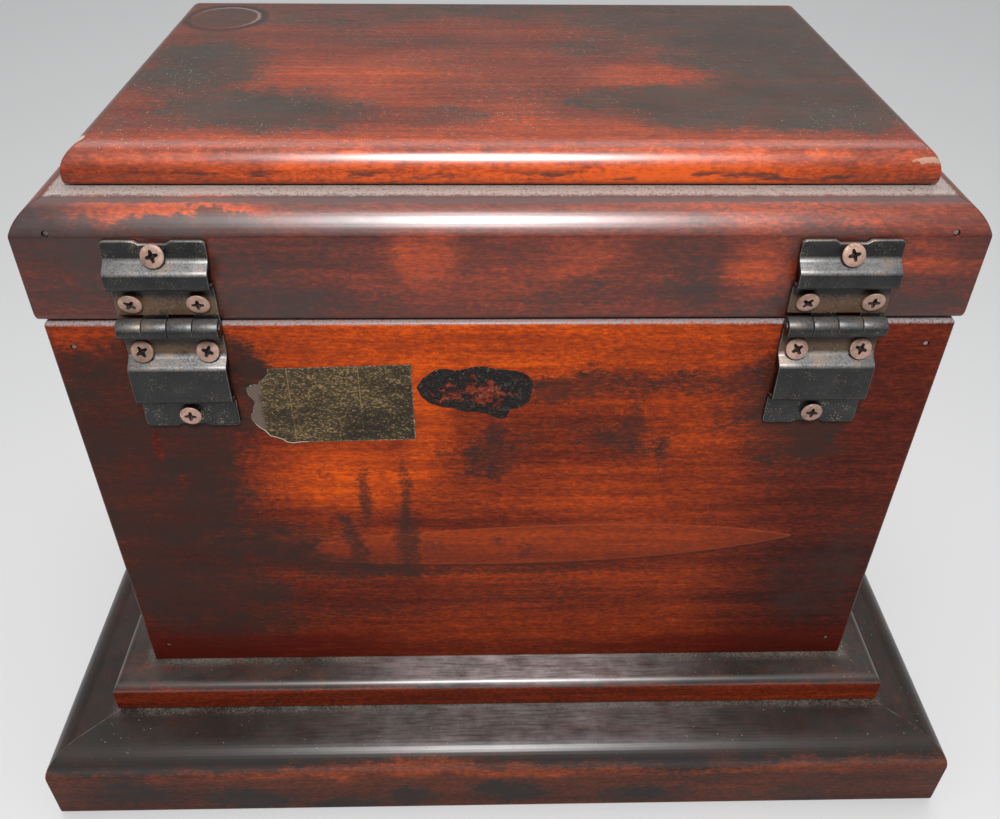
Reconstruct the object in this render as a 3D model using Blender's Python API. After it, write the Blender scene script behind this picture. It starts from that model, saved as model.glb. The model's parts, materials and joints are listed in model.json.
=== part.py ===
"""A small wooden chest with a hinged lid, built piece by piece.

Metres, +Z up. The chest stands on z = 0 with its middle over the origin. Its
front faces -Y, its back with the two hinges faces +Y, and right is +X.
"""

import math

import bmesh
import bpy
from mathutils import Matrix, Vector

# Clearances between pieces
JOINT_GAP = 0.0003          # glue line between two wooden pieces
LID_GAP = 0.0005            # open seam under the closed lid
HOLE_GAP = 0.0003           # round a nail or screw shank in its hole
METAL_GAP = 0.0003          # between a hinge leaf and the wood behind it

# Body box
BODY_WIDTH = 0.2300
BODY_DEPTH = 0.1522
BODY_HEIGHT = 0.1317
WALL = 0.0120
EDGE_EASE = 0.0012          # sanded arrises round the body's corners and rim

# Base: a mitred plinth frame under a moulded board
PLINTH_HEIGHT = 0.0282
PLINTH_REACH = 0.0310       # plinth face beyond the body's face
PLINTH_RAIL_WIDTH = 0.0420
PLINTH_ROUND = 0.0095
PLINTH_CORNER = 0.0012
PLINTH_FOOT_EASE = 0.0010
BOARD_THICKNESS = 0.0114
BOARD_REACH = 0.0113        # board edge beyond the body's face
BOARD_ROUND = 0.0032
BOARD_FOOT_EASE = 0.0010
BOARD_CORNER = 0.0016
BLOCK_LEG = 0.0260          # glue blocks in the plinth's inner corners

# Lid: a mitred frame under a bullnosed board
LID_OVERHANG = 0.0013       # at the front and the sides; the back is flush
LID_RAIL_HEIGHT = 0.0307
LID_RAIL_WIDTH = 0.0200
LID_SHOULDER_WIDTH = 0.0100
LID_SHOULDER_DROP = 0.0074
LID_SHOULDER_CUT = 22.0     # degrees of the quarter round that the frame's face cuts off
LID_LOWER_ROUND = 0.0020
LID_CORNER = 0.0030
TOP_THICKNESS = 0.0093
TOP_INSET = 0.0112          # top board edge inside the lid frame's face
TOP_ROUND_WIDTH = 0.0065
TOP_ROUND_DROP = 0.0068
TOP_LOWER_ROUND = 0.0015
TOP_CORNER = 0.0030

# Panel pins through the front and back into the sides
NAIL_RADIUS = 0.0006
NAIL_LENGTH = 0.0240
BODY_NAIL_SINK = 0.0004     # head below the board's face
LID_NAIL_SINK = 0.0008      # head below the frame's face, where the shoulder leans back
BODY_NAIL_MARGIN = 0.0070   # from the body's top and bottom edges
LID_NAIL_INSET = 0.0088     # from the lid frame's side face
LID_NAIL_HEIGHT = 0.0239    # above the lid frame's lower edge

# Hinges: two formed sheet leaves rolled round a pin
HINGE_INSET = 0.0322        # middle of a hinge from the body's end
LEAF_WIDTH = 0.0248
LEAF_THICKNESS = 0.0011
KNUCKLES = 4
KNUCKLE_GAP = 0.0004
BORE_RADIUS = 0.0015
ROLL_DEGREES = 290.0
LEAF_SETBACK = 0.0005       # a leaf's edge from the other leaf's barrel
RIB_OUT = 0.0047            # face of the pressed rib from the wood
RIB_BEND = 0.0013
RAMP_BEND = 0.0024          # where a rib's upper side sweeps out of the flat sheet
RAMP_RUN = 0.0022
UPPER_LEAF = {
    "rib_start": 0.0110, "rib_end": 0.0163, "start_ramp": 0.0, "end_ramp": RAMP_RUN, "reach": 0.0231,
    "pair": 0.0069, "pair_lean": -12.0, "single": 0.0196, "single_lean": 24.0,
}
LOWER_LEAF = {
    "rib_start": 0.0108, "rib_end": 0.0226, "start_ramp": RAMP_RUN, "end_ramp": 0.0, "reach": 0.0316,
    "pair": 0.0072, "pair_lean": 20.0, "single": 0.0275, "single_lean": -3.0,
}
TAB_CORNER = 0.0012
NOTCH_WIDTH = 0.0088
NOTCH_SLANT = 0.0012
NOTCH_DEPTH = 0.0008
PIN_RADIUS = 0.0012
PIN_PROUD = 0.0003          # pin end beyond the barrel
PIN_DOME = 0.0003

# Hinge screws
SCREW_PAIR_SPACING = 0.0164
SCREW_HEAD_RADIUS = 0.00285
SCREW_SHANK_RADIUS = 0.0013
SCREW_LENGTH = 0.0100       # under the head
SCREW_TIP = 0.0025
SCREW_SEAT_GAP = 0.0002
SCREW_CONE_RISE = 0.00075
SCREW_RIM = 0.00025
SCREW_CROWN = 0.00015
RECESS_ARM = 0.0030
RECESS_WIDTH = 0.0008
RECESS_DEPTH = 0.0009
RECESS_TAPER = 0.45
SCREW_TURN_STEP = 37.0      # degrees that each screw is left turned from the last

# Facets
ARC_STEPS = 8
BEND_STEPS = 4
ROLL_STEPS = 14
CORNER_STEPS = 3
ROUND_SIDES = 16
NAIL_SIDES = 10
CUT_MARGIN = 0.0010         # how far a cutter starts outside the face it cuts
MERGE_DISTANCE = 0.000001
STATION_DIGITS = 6          # decimals kept where two leaf stations may coincide
SMOOTH_ANGLE = math.radians(35)
FACING = 0.9                # least cosine for a face that looks a given way

# Levels and places that follow from the sizes above
BOARD_BOTTOM = PLINTH_HEIGHT + JOINT_GAP
BOARD_TOP = BOARD_BOTTOM + BOARD_THICKNESS
BODY_BOTTOM = BOARD_TOP + JOINT_GAP
BODY_TOP = BODY_BOTTOM + BODY_HEIGHT
LID_BOTTOM = BODY_TOP + LID_GAP
LID_RAIL_TOP = LID_BOTTOM + LID_RAIL_HEIGHT
TOP_BOTTOM = LID_RAIL_TOP + JOINT_GAP
TOP_TOP = TOP_BOTTOM + TOP_THICKNESS
HALF_WIDTH = BODY_WIDTH / 2
HALF_DEPTH = BODY_DEPTH / 2
LID_HALF_WIDTH = HALF_WIDTH + LID_OVERHANG
LID_HALF_DEPTH = HALF_DEPTH + LID_OVERHANG / 2
LID_MIDDLE_Y = -LID_OVERHANG / 2
MITRE_BACK = JOINT_GAP / math.sqrt(2)
BARREL_RADIUS = BORE_RADIUS + LEAF_THICKNESS
AXIS_OUT = METAL_GAP + BARREL_RADIUS
HINGE_X = HALF_WIDTH - HINGE_INSET
AXIS = Vector((0.0, HALF_DEPTH + AXIS_OUT, BODY_TOP + LID_GAP / 2))
LEAF_FACE = METAL_GAP + LEAF_THICKNESS


def clear_scene():
    for old in list(bpy.data.objects):
        bpy.data.objects.remove(old, do_unlink=True)


def make_material(name, colour, roughness, metallic):
    made = bpy.data.materials.new(name)
    made.use_nodes = True
    shader = made.node_tree.nodes["Principled BSDF"]
    shader.inputs["Base Color"].default_value = (*colour, 1.0)
    shader.inputs["Roughness"].default_value = roughness
    shader.inputs["Metallic"].default_value = metallic
    made.diffuse_color = (*colour, 1.0)
    return made


def add_object(name, bm, look, parent=None, closed=True):
    if closed:
        bmesh.ops.recalc_face_normals(bm, faces=bm.faces)
    mesh = bpy.data.meshes.new(name)
    bm.to_mesh(mesh)
    bm.free()
    mesh.materials.append(look)
    mesh.shade_smooth()
    mesh.set_sharp_from_angle(angle=SMOOTH_ANGLE)
    made = bpy.data.objects.new(name, mesh)
    bpy.context.collection.objects.link(made)
    if parent:
        made.parent = parent
        made.matrix_parent_inverse = parent.matrix_world.inverted()
    return made


def add_cutter(name, bm):
    bmesh.ops.recalc_face_normals(bm, faces=bm.faces)
    mesh = bpy.data.meshes.new(name)
    bm.to_mesh(mesh)
    bm.free()
    made = bpy.data.objects.new(name, mesh)
    made.hide_render = True
    made.display_type = "WIRE"
    bpy.context.collection.objects.link(made)
    return made


def cut(piece, cutter):
    step = piece.modifiers.new("cut_" + cutter.name, "BOOLEAN")
    step.operation = "DIFFERENCE"
    step.solver = "EXACT"
    step.object = cutter


def arc(centre, radii, start, end, steps):
    points = []
    for i in range(steps + 1):
        turn = math.radians(start + (end - start) * i / steps)
        points.append((centre[0] + radii[0] * math.cos(turn), centre[1] + radii[1] * math.sin(turn)))
    return points


def edge_profile(bottom, top, upper_width, upper_drop, lower_round, face_cut=0.0):
    """Moulded edge from the bottom up, as (inset from the outer face, height).

    The upper round runs level into the top, and meets the outer face in a
    crease where that face cuts off the first degrees of its quarter turn.
    """
    width = upper_width / math.cos(math.radians(face_cut))
    drop = upper_drop / (1 - math.sin(math.radians(face_cut)))
    lower = arc((lower_round, bottom + lower_round), (lower_round, lower_round), 270, 180, CORNER_STEPS)
    upper = arc((upper_width, top - drop), (width, drop), 180 - face_cut, 90, ARC_STEPS)
    return lower + upper


def mitred_rail(name, moulding, inner, half_run, outer, turn, middle_y, corner, look, parent=None):
    """A rail that faces +Y before it is turned, its ends mitred to meet its neighbours.

    The moulding's points turn the frame's rounded corner as far as the mitre,
    and the inner points run straight to it.
    """
    bm = bmesh.new()
    profile = [(point, corner) for point in moulding] + [(point, 0.0) for point in inner]
    sections = []
    for side, start, end in ((-1, 45, 90), (1, 90, 45)):
        for i in range(CORNER_STEPS + 1):
            swing = math.radians(start + (end - start) * i / CORNER_STEPS)
            section = []
            for (inset, height), radius in profile:
                reach = half_run - inset - radius * (1 - math.cos(swing)) - MITRE_BACK
                depth = outer - inset - radius * (1 - math.sin(swing))
                section.append(bm.verts.new((side * reach, depth, height)))
            sections.append(section)
    count = len(profile)
    for near, far in zip(sections, sections[1:]):
        for i in range(count):
            following = (i + 1) % count
            bm.faces.new((near[i], near[following], far[following], far[i]))
    bm.faces.new(sections[0])
    bm.faces.new(sections[-1])
    bmesh.ops.remove_doubles(bm, verts=bm.verts, dist=MERGE_DISTANCE)
    place = Matrix.Translation((0.0, middle_y, 0.0)) @ Matrix.Rotation(math.radians(turn), 4, "Z")
    bmesh.ops.transform(bm, matrix=place, verts=bm.verts)
    return add_object(name, bm, look, parent)


def mitred_frame(prefix, moulding, inner, half_width, half_depth, middle_y, corner, look, parent=None):
    sides = {
        "back": (half_width, half_depth, 0),
        "left": (half_depth, half_width, 90),
        "front": (half_width, half_depth, 180),
        "right": (half_depth, half_width, 270),
    }
    rails = {}
    for side, (half_run, outer, turn) in sides.items():
        name = prefix + "_" + side + "_rail"
        rails[side] = mitred_rail(
            name, moulding, inner, half_run, outer, turn, middle_y, corner, look, parent
        )
    return rails


def moulded_board(name, profile, half_width, half_depth, middle_y, corner, look, parent=None):
    """A board with the same moulding run round all four edges."""
    bm = bmesh.new()
    loops = []
    for inset, height in profile:
        loop = []
        across = half_width - inset - corner
        along = half_depth - inset - corner
        quarters = ((1, 1, 0), (-1, 1, 90), (-1, -1, 180), (1, -1, 270))
        for side_x, side_y, start in quarters:
            centre = (side_x * across, side_y * along + middle_y)
            for x, y in arc(centre, (corner, corner), start, start + 90, CORNER_STEPS):
                loop.append(bm.verts.new((x, y, height)))
        loops.append(loop)
    count = len(loops[0])
    for lower, upper in zip(loops, loops[1:]):
        for i in range(count):
            following = (i + 1) % count
            bm.faces.new((lower[i], lower[following], upper[following], upper[i]))
    bm.faces.new(loops[0])
    bm.faces.new(loops[-1])
    return add_object(name, bm, look, parent)


def box(low, high):
    bm = bmesh.new()
    bmesh.ops.create_cube(bm, size=1.0)
    size = Vector(high) - Vector(low)
    middle = (Vector(high) + Vector(low)) / 2
    bmesh.ops.scale(bm, vec=size, verts=bm.verts)
    bmesh.ops.translate(bm, vec=middle, verts=bm.verts)
    return bm


def ease_shown_edges(bm, shown):
    """Round every edge between two of a board's faces that show."""
    bm.normal_update()
    faces = {face for face in bm.faces if any(face.normal.dot(way) > FACING for way in shown)}
    edges = [edge for edge in bm.edges if faces.issuperset(edge.link_faces)]
    bmesh.ops.bevel(bm, geom=edges, offset=EDGE_EASE, segments=CORNER_STEPS, profile=0.5, affect="EDGES")


def add_rod(bm, radius, sides, start, end):
    """One closed rod between two points."""
    run = Vector(end) - Vector(start)
    turn = run.to_track_quat("Z", "Y").to_matrix().to_4x4()
    place = Matrix.Translation((Vector(start) + Vector(end)) / 2) @ turn
    bmesh.ops.create_cone(
        bm, cap_ends=True, segments=sides, radius1=radius, radius2=radius, depth=run.length, matrix=place
    )


def make_nails(stem, places, face_y, inward, sink, pieces, look, parent=None):
    """Nails driven along Y from one face, with their holes in every piece they pass."""
    holes = bmesh.new()
    for number, (x, z) in enumerate(places, start=1):
        head = Vector((x, face_y + inward * sink, z))
        tip = head + Vector((0.0, inward * NAIL_LENGTH, 0.0))
        nail = bmesh.new()
        add_rod(nail, NAIL_RADIUS, NAIL_SIDES, head, tip)
        add_object(stem + "_nail_" + str(number), nail, look, parent)
        mouth = Vector((x, face_y - inward * CUT_MARGIN, z))
        floor = tip + Vector((0.0, inward * HOLE_GAP, 0.0))
        add_rod(holes, NAIL_RADIUS + HOLE_GAP, NAIL_SIDES, mouth, floor)
    cutter = add_cutter(stem + "_nail_holes", holes)
    for piece in pieces:
        cut(piece, cutter)


def fillet_path(corners, radii, steps):
    """A bent strip's middle line: straight runs with every inner corner rounded."""
    points = [Vector(corners[0])]
    for before, here, after, radius in zip(corners, corners[1:], corners[2:], radii):
        corner = Vector(here)
        back = (Vector(before) - corner).normalized()
        ahead = (Vector(after) - corner).normalized()
        half = back.angle(ahead) / 2
        centre = corner + (back + ahead).normalized() * radius / math.sin(half)
        first = corner + back * radius / math.tan(half) - centre
        last = corner + ahead * radius / math.tan(half) - centre
        sweep = first.angle(last)
        cross = first.x * last.y - first.y * last.x
        for i in range(steps + 1):
            turn = math.copysign(sweep * i / steps, cross)
            turned = Matrix.Rotation(turn, 2) @ first
            points.append(centre + turned)
    points.append(Vector(corners[-1]))
    return points


def leaf_path(leaf):
    """Middle line of a leaf as (distance out from the wood, distance from the pin)."""
    roll_radius = BORE_RADIUS + LEAF_THICKNESS / 2
    flat = METAL_GAP + LEAF_THICKNESS / 2
    crest = RIB_OUT - LEAF_THICKNESS / 2
    rib_start = leaf["rib_start"] + LEAF_THICKNESS / 2
    rib_end = leaf["rib_end"] - LEAF_THICKNESS / 2
    roll = arc((AXIS_OUT, 0.0), (roll_radius, roll_radius), 180 + ROLL_DEGREES, 180, ROLL_STEPS)
    setback = BARREL_RADIUS + LEAF_SETBACK
    corners = [
        (flat, setback),
        (flat, rib_start - leaf["start_ramp"]),
        (crest, rib_start),
        (crest, rib_end),
        (flat, rib_end + leaf["end_ramp"]),
        (flat, leaf["reach"]),
    ]
    start_bend = RAMP_BEND if leaf["start_ramp"] else RIB_BEND
    end_bend = RAMP_BEND if leaf["end_ramp"] else RIB_BEND
    bends = (start_bend, RIB_BEND, RIB_BEND, end_bend)
    return [Vector(point) for point in roll], fillet_path(corners, bends, BEND_STEPS)


def knuckle_spans(first):
    """X ranges of every other knuckle, counted from the +X end."""
    pitch = LEAF_WIDTH / KNUCKLES
    spans = []
    for i in range(first, KNUCKLES, 2):
        high = LEAF_WIDTH / 2 - i * pitch
        low = high - pitch
        if i > 0:
            high -= KNUCKLE_GAP / 2
        if i < KNUCKLES - 1:
            low += KNUCKLE_GAP / 2
        spans.append((low, high))
    return spans


def make_leaf(name, middle_x, leaf, up, first_knuckle, holes, look, parent=None):
    """A formed leaf: a folded middle surface, thickened, then drilled."""
    roll, strip = leaf_path(leaf)
    path = roll + strip
    spans = knuckle_spans(first_knuckle)
    notch = (NOTCH_WIDTH / 2 - NOTCH_SLANT, NOTCH_WIDTH / 2)
    stations = [-LEAF_WIDTH / 2, LEAF_WIDTH / 2, -notch[1], -notch[0], notch[0], notch[1]]
    for span in spans:
        stations.extend(span)
    stations = sorted({round(x, STATION_DIGITS) for x in stations})

    bm = bmesh.new()
    rows = []
    for out, away in path:
        row = []
        for x in stations:
            row.append(bm.verts.new((middle_x + x, HALF_DEPTH + out, AXIS.z + up * away)))
        rows.append(row)
    for r, (row, following) in enumerate(zip(rows, rows[1:])):
        in_barrel = r < len(roll)
        for c in range(len(stations) - 1):
            centre = (stations[c] + stations[c + 1]) / 2
            carried = any(low < centre < high for low, high in spans)
            if carried or not in_barrel:
                bm.faces.new((row[c], row[c + 1], following[c + 1], following[c]))

    for vert, x in zip(rows[-1], stations):
        if abs(x) < (notch[0] + notch[1]) / 2:
            vert.co.z -= up * NOTCH_DEPTH
    bmesh.ops.delete(bm, geom=[v for v in bm.verts if not v.link_faces], context="VERTS")
    bmesh.ops.bevel(
        bm, geom=[rows[-1][0], rows[-1][-1]], offset=TAB_CORNER, segments=CORNER_STEPS, profile=0.5,
        affect="VERTICES",
    )
    piece = add_object(name, bm, look, parent, closed=False)
    sheet = piece.modifiers.new("sheet", "SOLIDIFY")
    sheet.thickness = LEAF_THICKNESS
    sheet.offset = 0.0
    sheet.use_even_offset = True
    cut(piece, holes)
    return piece


def make_pin(name, middle_x, look):
    bm = bmesh.new()
    half = LEAF_WIDTH / 2 + PIN_PROUD
    ends = (AXIS + Vector((middle_x - half, 0.0, 0.0)), AXIS + Vector((middle_x + half, 0.0, 0.0)))
    add_rod(bm, PIN_RADIUS, ROUND_SIDES, *ends)
    rims = []
    for edge in bm.edges:
        if math.isclose(edge.verts[0].co.x, edge.verts[1].co.x, abs_tol=PIN_DOME):
            rims.append(edge)
    bmesh.ops.bevel(bm, geom=rims, offset=PIN_DOME, segments=CORNER_STEPS, profile=0.5, affect="EDGES")
    return add_object(name, bm, look)


def screw_seats(leaf, middle_x, up):
    """A frame for each screw of a leaf: on the leaf's face, Y along the screw."""
    half = SCREW_PAIR_SPACING / 2
    seats = []
    for across, place in ((-half, "pair"), (half, "pair"), (0.0, "single")):
        lean = math.radians(leaf[place + "_lean"])
        dip = SCREW_HEAD_RADIUS * math.sin(abs(lean)) - SCREW_CONE_RISE * math.cos(lean)
        out = HALF_DEPTH + LEAF_FACE + max(dip, 0.0)
        foot = Matrix.Translation((middle_x + across, out, AXIS.z + up * leaf[place]))
        seats.append(foot @ Matrix.Rotation(lean, 4, "X"))
    return seats


def add_screw(bm):
    """A countersunk screw turned on its axis, its head outwards along +Y."""
    seat = SCREW_SEAT_GAP
    rim = seat + SCREW_CONE_RISE
    face = rim + SCREW_RIM
    tip = seat - SCREW_LENGTH
    profile = [
        (0.0, face + SCREW_CROWN),
        (SCREW_HEAD_RADIUS / 2, face + SCREW_CROWN * 3 / 4),
        (SCREW_HEAD_RADIUS, face),
        (SCREW_HEAD_RADIUS, rim),
        (SCREW_SHANK_RADIUS, seat),
        (SCREW_SHANK_RADIUS, tip + SCREW_TIP),
        (0.0, tip),
    ]
    verts = [bm.verts.new((radius, y, 0.0)) for radius, y in profile]
    edges = [bm.edges.new(pair) for pair in zip(verts, verts[1:])]
    bmesh.ops.spin(
        bm, geom=verts + edges, cent=(0.0, 0.0, 0.0), axis=(0.0, 1.0, 0.0), angle=math.tau,
        steps=ROUND_SIDES, use_merge=True,
    )
    return face + SCREW_CROWN


def add_recess(bm, seat, top, turn):
    """A tapered cross that sinks into a screw head."""
    half = RECESS_WIDTH / 2
    arm = RECESS_ARM / 2
    quarter = [(arm, -half), (arm, half), (half, half)]
    outline = []
    for i in range(4):
        spin = Matrix.Rotation(math.radians(turn + 90 * i), 2)
        outline.extend(spin @ Vector(point) for point in quarter)
    taper = RECESS_TAPER
    mouth = []
    floor = []
    for point in outline:
        mouth.append(bm.verts.new(seat @ Vector((point.x, top + CUT_MARGIN, point.y))))
        floor.append(bm.verts.new(seat @ Vector((point.x * taper, top - RECESS_DEPTH, point.y * taper))))
    count = len(outline)
    for i in range(count):
        following = (i + 1) % count
        bm.faces.new((mouth[i], mouth[following], floor[following], floor[i]))
    bm.faces.new(mouth)
    bm.faces.new(floor)


def make_screws(stem, seats, first_turn, look, parent=None):
    recesses = bmesh.new()
    screws = []
    for i, seat in enumerate(seats):
        bm = bmesh.new()
        top = add_screw(bm)
        bmesh.ops.remove_doubles(bm, verts=bm.verts, dist=MERGE_DISTANCE)
        bmesh.ops.transform(bm, matrix=seat, verts=bm.verts)
        screws.append(add_object(stem + "_screw_" + str(i + 1), bm, look, parent))
        add_recess(recesses, seat, top, first_turn + i * SCREW_TURN_STEP)
    cutter = add_cutter(stem + "_screw_recesses", recesses)
    for screw in screws:
        cut(screw, cutter)


def make_screw_holes(name, seats):
    """One cutter for the leaf's holes and the pilot holes behind them."""
    bm = bmesh.new()
    for seat in seats:
        mouth = seat @ Vector((0.0, CUT_MARGIN, 0.0))
        floor = seat @ Vector((0.0, SCREW_SEAT_GAP - SCREW_LENGTH - HOLE_GAP, 0.0))
        add_rod(bm, SCREW_SHANK_RADIUS + HOLE_GAP, ROUND_SIDES, mouth, floor)
    return add_cutter(name, bm)


def make_base(looks):
    moulding = edge_profile(0.0, PLINTH_HEIGHT, PLINTH_ROUND, PLINTH_ROUND, PLINTH_FOOT_EASE)
    inner = [(PLINTH_RAIL_WIDTH, PLINTH_HEIGHT), (PLINTH_RAIL_WIDTH, 0.0)]
    half_width = HALF_WIDTH + PLINTH_REACH
    half_depth = HALF_DEPTH + PLINTH_REACH
    mitred_frame("plinth", moulding, inner, half_width, half_depth, 0.0, PLINTH_CORNER, looks["plinth"])

    profile = edge_profile(BOARD_BOTTOM, BOARD_TOP, BOARD_ROUND, BOARD_ROUND, BOARD_FOOT_EASE)
    half_width = HALF_WIDTH + BOARD_REACH
    half_depth = HALF_DEPTH + BOARD_REACH
    moulded_board("base_board", profile, half_width, half_depth, 0.0, BOARD_CORNER, looks["plinth"])


def make_corner_blocks(look):
    inner_x = HALF_WIDTH + PLINTH_REACH - PLINTH_RAIL_WIDTH - JOINT_GAP
    inner_y = HALF_DEPTH + PLINTH_REACH - PLINTH_RAIL_WIDTH - JOINT_GAP
    corners = {"back_left": (-1, 1), "back_right": (1, 1), "front_left": (-1, -1), "front_right": (1, -1)}
    for place, (side_x, side_y) in corners.items():
        bm = bmesh.new()
        plan = [(inner_x, inner_y), (inner_x - BLOCK_LEG, inner_y), (inner_x, inner_y - BLOCK_LEG)]
        foot = bm.faces.new([bm.verts.new((side_x * x, side_y * y, JOINT_GAP)) for x, y in plan])
        risen = bmesh.ops.extrude_face_region(bm, geom=[foot])["geom"]
        raised = [item for item in risen if isinstance(item, bmesh.types.BMVert)]
        bmesh.ops.translate(bm, vec=(0.0, 0.0, PLINTH_HEIGHT - JOINT_GAP), verts=raised)
        add_object("corner_block_" + place, bm, look)


def make_body(looks):
    boards = {}
    inner = HALF_DEPTH - WALL
    for name, side in (("back", 1), ("front", -1)):
        ys = sorted((side * inner, side * HALF_DEPTH))
        bm = box((-HALF_WIDTH, ys[0], BODY_BOTTOM), (HALF_WIDTH, ys[1], BODY_TOP))
        ease_shown_edges(bm, ((0, side, 0), (-1, 0, 0), (1, 0, 0), (0, 0, 1)))
        boards[name] = add_object("body_" + name + "_board", bm, looks["body"])
    for name, side in (("left", -1), ("right", 1)):
        xs = sorted((side * (HALF_WIDTH - WALL), side * HALF_WIDTH))
        reach = inner - JOINT_GAP
        bm = box((xs[0], -reach, BODY_BOTTOM), (xs[1], reach, BODY_TOP))
        ease_shown_edges(bm, ((side, 0, 0), (0, 0, 1)))
        boards[name] = add_object("body_" + name + "_board", bm, looks["body"])

    nail_x = HALF_WIDTH - WALL / 2
    levels = (BODY_BOTTOM + BODY_NAIL_MARGIN, BODY_TOP - BODY_NAIL_MARGIN)
    places = [(side * nail_x, level) for side in (-1, 1) for level in levels]
    for name, side in (("back", 1), ("front", -1)):
        held = (boards[name], boards["left"], boards["right"])
        face = side * HALF_DEPTH
        make_nails("body_" + name, places, face, -side, BODY_NAIL_SINK, held, looks["nail"])
    return boards


def make_lid(looks, parent):
    moulding = edge_profile(
        LID_BOTTOM, LID_RAIL_TOP, LID_SHOULDER_WIDTH, LID_SHOULDER_DROP, LID_LOWER_ROUND, LID_SHOULDER_CUT
    )
    inner = [(LID_RAIL_WIDTH, LID_RAIL_TOP), (LID_RAIL_WIDTH, LID_BOTTOM)]
    rails = mitred_frame(
        "lid", moulding, inner, LID_HALF_WIDTH, LID_HALF_DEPTH, LID_MIDDLE_Y, LID_CORNER, looks["lid"], parent
    )

    profile = edge_profile(TOP_BOTTOM, TOP_TOP, TOP_ROUND_WIDTH, TOP_ROUND_DROP, TOP_LOWER_ROUND)
    half_width = LID_HALF_WIDTH - TOP_INSET
    half_depth = LID_HALF_DEPTH - TOP_INSET
    moulded_board(
        "lid_top_board", profile, half_width, half_depth, LID_MIDDLE_Y, TOP_CORNER, looks["lid"], parent
    )

    nail_x = LID_HALF_WIDTH - LID_NAIL_INSET
    places = [(side * nail_x, LID_BOTTOM + LID_NAIL_HEIGHT) for side in (-1, 1)]
    for name, side in (("back", 1), ("front", -1)):
        held = (rails[name], rails["left"], rails["right"])
        face = LID_MIDDLE_Y + side * LID_HALF_DEPTH
        make_nails("lid_" + name, places, face, -side, LID_NAIL_SINK, held, looks["nail"], parent)
    return rails


def make_hinge(side, middle_x, back_board, lid_rail, looks, lid):
    stem = "hinge_" + side
    lid_seats = screw_seats(UPPER_LEAF, middle_x, 1)
    body_seats = screw_seats(LOWER_LEAF, middle_x, -1)
    lid_holes = make_screw_holes(stem + "_lid_holes", lid_seats)
    body_holes = make_screw_holes(stem + "_body_holes", body_seats)
    cut(lid_rail, lid_holes)
    cut(back_board, body_holes)
    make_leaf(stem + "_upper_leaf", middle_x, UPPER_LEAF, 1, 1, lid_holes, looks["hinge"], lid)
    make_leaf(stem + "_lower_leaf", middle_x, LOWER_LEAF, -1, 0, body_holes, looks["hinge"])
    make_pin(stem + "_pin", middle_x, looks["hinge"])
    make_screws(stem + "_lid", lid_seats, 0.0, looks["screw"], lid)
    make_screws(stem + "_body", body_seats, SCREW_TURN_STEP * len(lid_seats), looks["screw"])


def main():
    clear_scene()
    looks = {
        "plinth": make_material("dark_stained_wood", (0.060, 0.020, 0.012), 0.38, 0.0),
        "body": make_material("red_stained_wood", (0.200, 0.040, 0.012), 0.30, 0.0),
        "lid": make_material("orange_stained_wood", (0.230, 0.045, 0.012), 0.28, 0.0),
        "block": make_material("bare_wood", (0.300, 0.190, 0.100), 0.70, 0.0),
        "nail": make_material("dull_nail_steel", (0.250, 0.220, 0.200), 0.50, 1.0),
        "hinge": make_material("blackened_steel", (0.035, 0.035, 0.036), 0.45, 0.8),
        "screw": make_material("rusty_screw_steel", (0.330, 0.230, 0.170), 0.50, 0.8),
    }
    lid = bpy.data.objects.new("lid_axis", None)
    bpy.context.collection.objects.link(lid)
    lid.location = AXIS
    bpy.context.view_layer.update()

    make_base(looks)
    make_corner_blocks(looks["block"])
    boards = make_body(looks)
    rails = make_lid(looks, lid)
    for side, middle_x in (("left", -HINGE_X), ("right", HINGE_X)):
        make_hinge(side, middle_x, boards["back"], rails["back"], looks, lid)


main()
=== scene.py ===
import json
import math

import bmesh
import bpy
from mathutils import Matrix, Vector


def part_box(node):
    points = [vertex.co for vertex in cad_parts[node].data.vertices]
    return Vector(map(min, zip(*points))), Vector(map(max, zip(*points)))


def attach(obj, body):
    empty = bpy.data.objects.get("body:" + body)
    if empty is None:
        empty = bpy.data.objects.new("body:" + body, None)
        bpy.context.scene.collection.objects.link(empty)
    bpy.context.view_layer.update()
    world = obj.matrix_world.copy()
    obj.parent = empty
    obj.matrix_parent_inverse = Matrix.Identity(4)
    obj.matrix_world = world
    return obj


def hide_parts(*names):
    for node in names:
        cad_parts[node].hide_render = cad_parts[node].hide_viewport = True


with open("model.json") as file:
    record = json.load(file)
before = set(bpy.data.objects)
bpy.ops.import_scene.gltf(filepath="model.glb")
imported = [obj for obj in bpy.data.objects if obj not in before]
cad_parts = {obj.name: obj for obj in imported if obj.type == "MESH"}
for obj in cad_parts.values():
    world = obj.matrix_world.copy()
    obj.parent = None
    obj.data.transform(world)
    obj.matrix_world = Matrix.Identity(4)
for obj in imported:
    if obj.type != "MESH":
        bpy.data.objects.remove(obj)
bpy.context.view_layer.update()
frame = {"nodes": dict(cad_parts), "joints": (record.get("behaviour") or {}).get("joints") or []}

mm = 0.001
closeBy = 1e-6  # points nearer than this share a place
weldGap = 1e-7
axisPoint = Vector(frame["joints"][0]["pos_m"])  # on the line of the hinge pins
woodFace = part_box("body_back_board")[1].y


# node helpers

def setInputs(made, inputs):
    for key, value in inputs.items():
        if isinstance(value, bpy.types.NodeSocket):
            made.id_data.links.new(value, made.inputs[key])
        else:
            made.inputs[key].default_value = value
    return made


def shaderNode(kind, inputs, **settings):
    # the new node joins the tree of the sockets that feed it
    tree = next(value.id_data for value in inputs.values() if isinstance(value, bpy.types.NodeSocket))
    made = tree.nodes.new("ShaderNode" + kind)
    for key, value in settings.items():
        setattr(made, key, value)
    return setInputs(made, inputs)


def useGroup(group, inputs):
    return shaderNode("Group", inputs, node_tree=group).outputs


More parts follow.
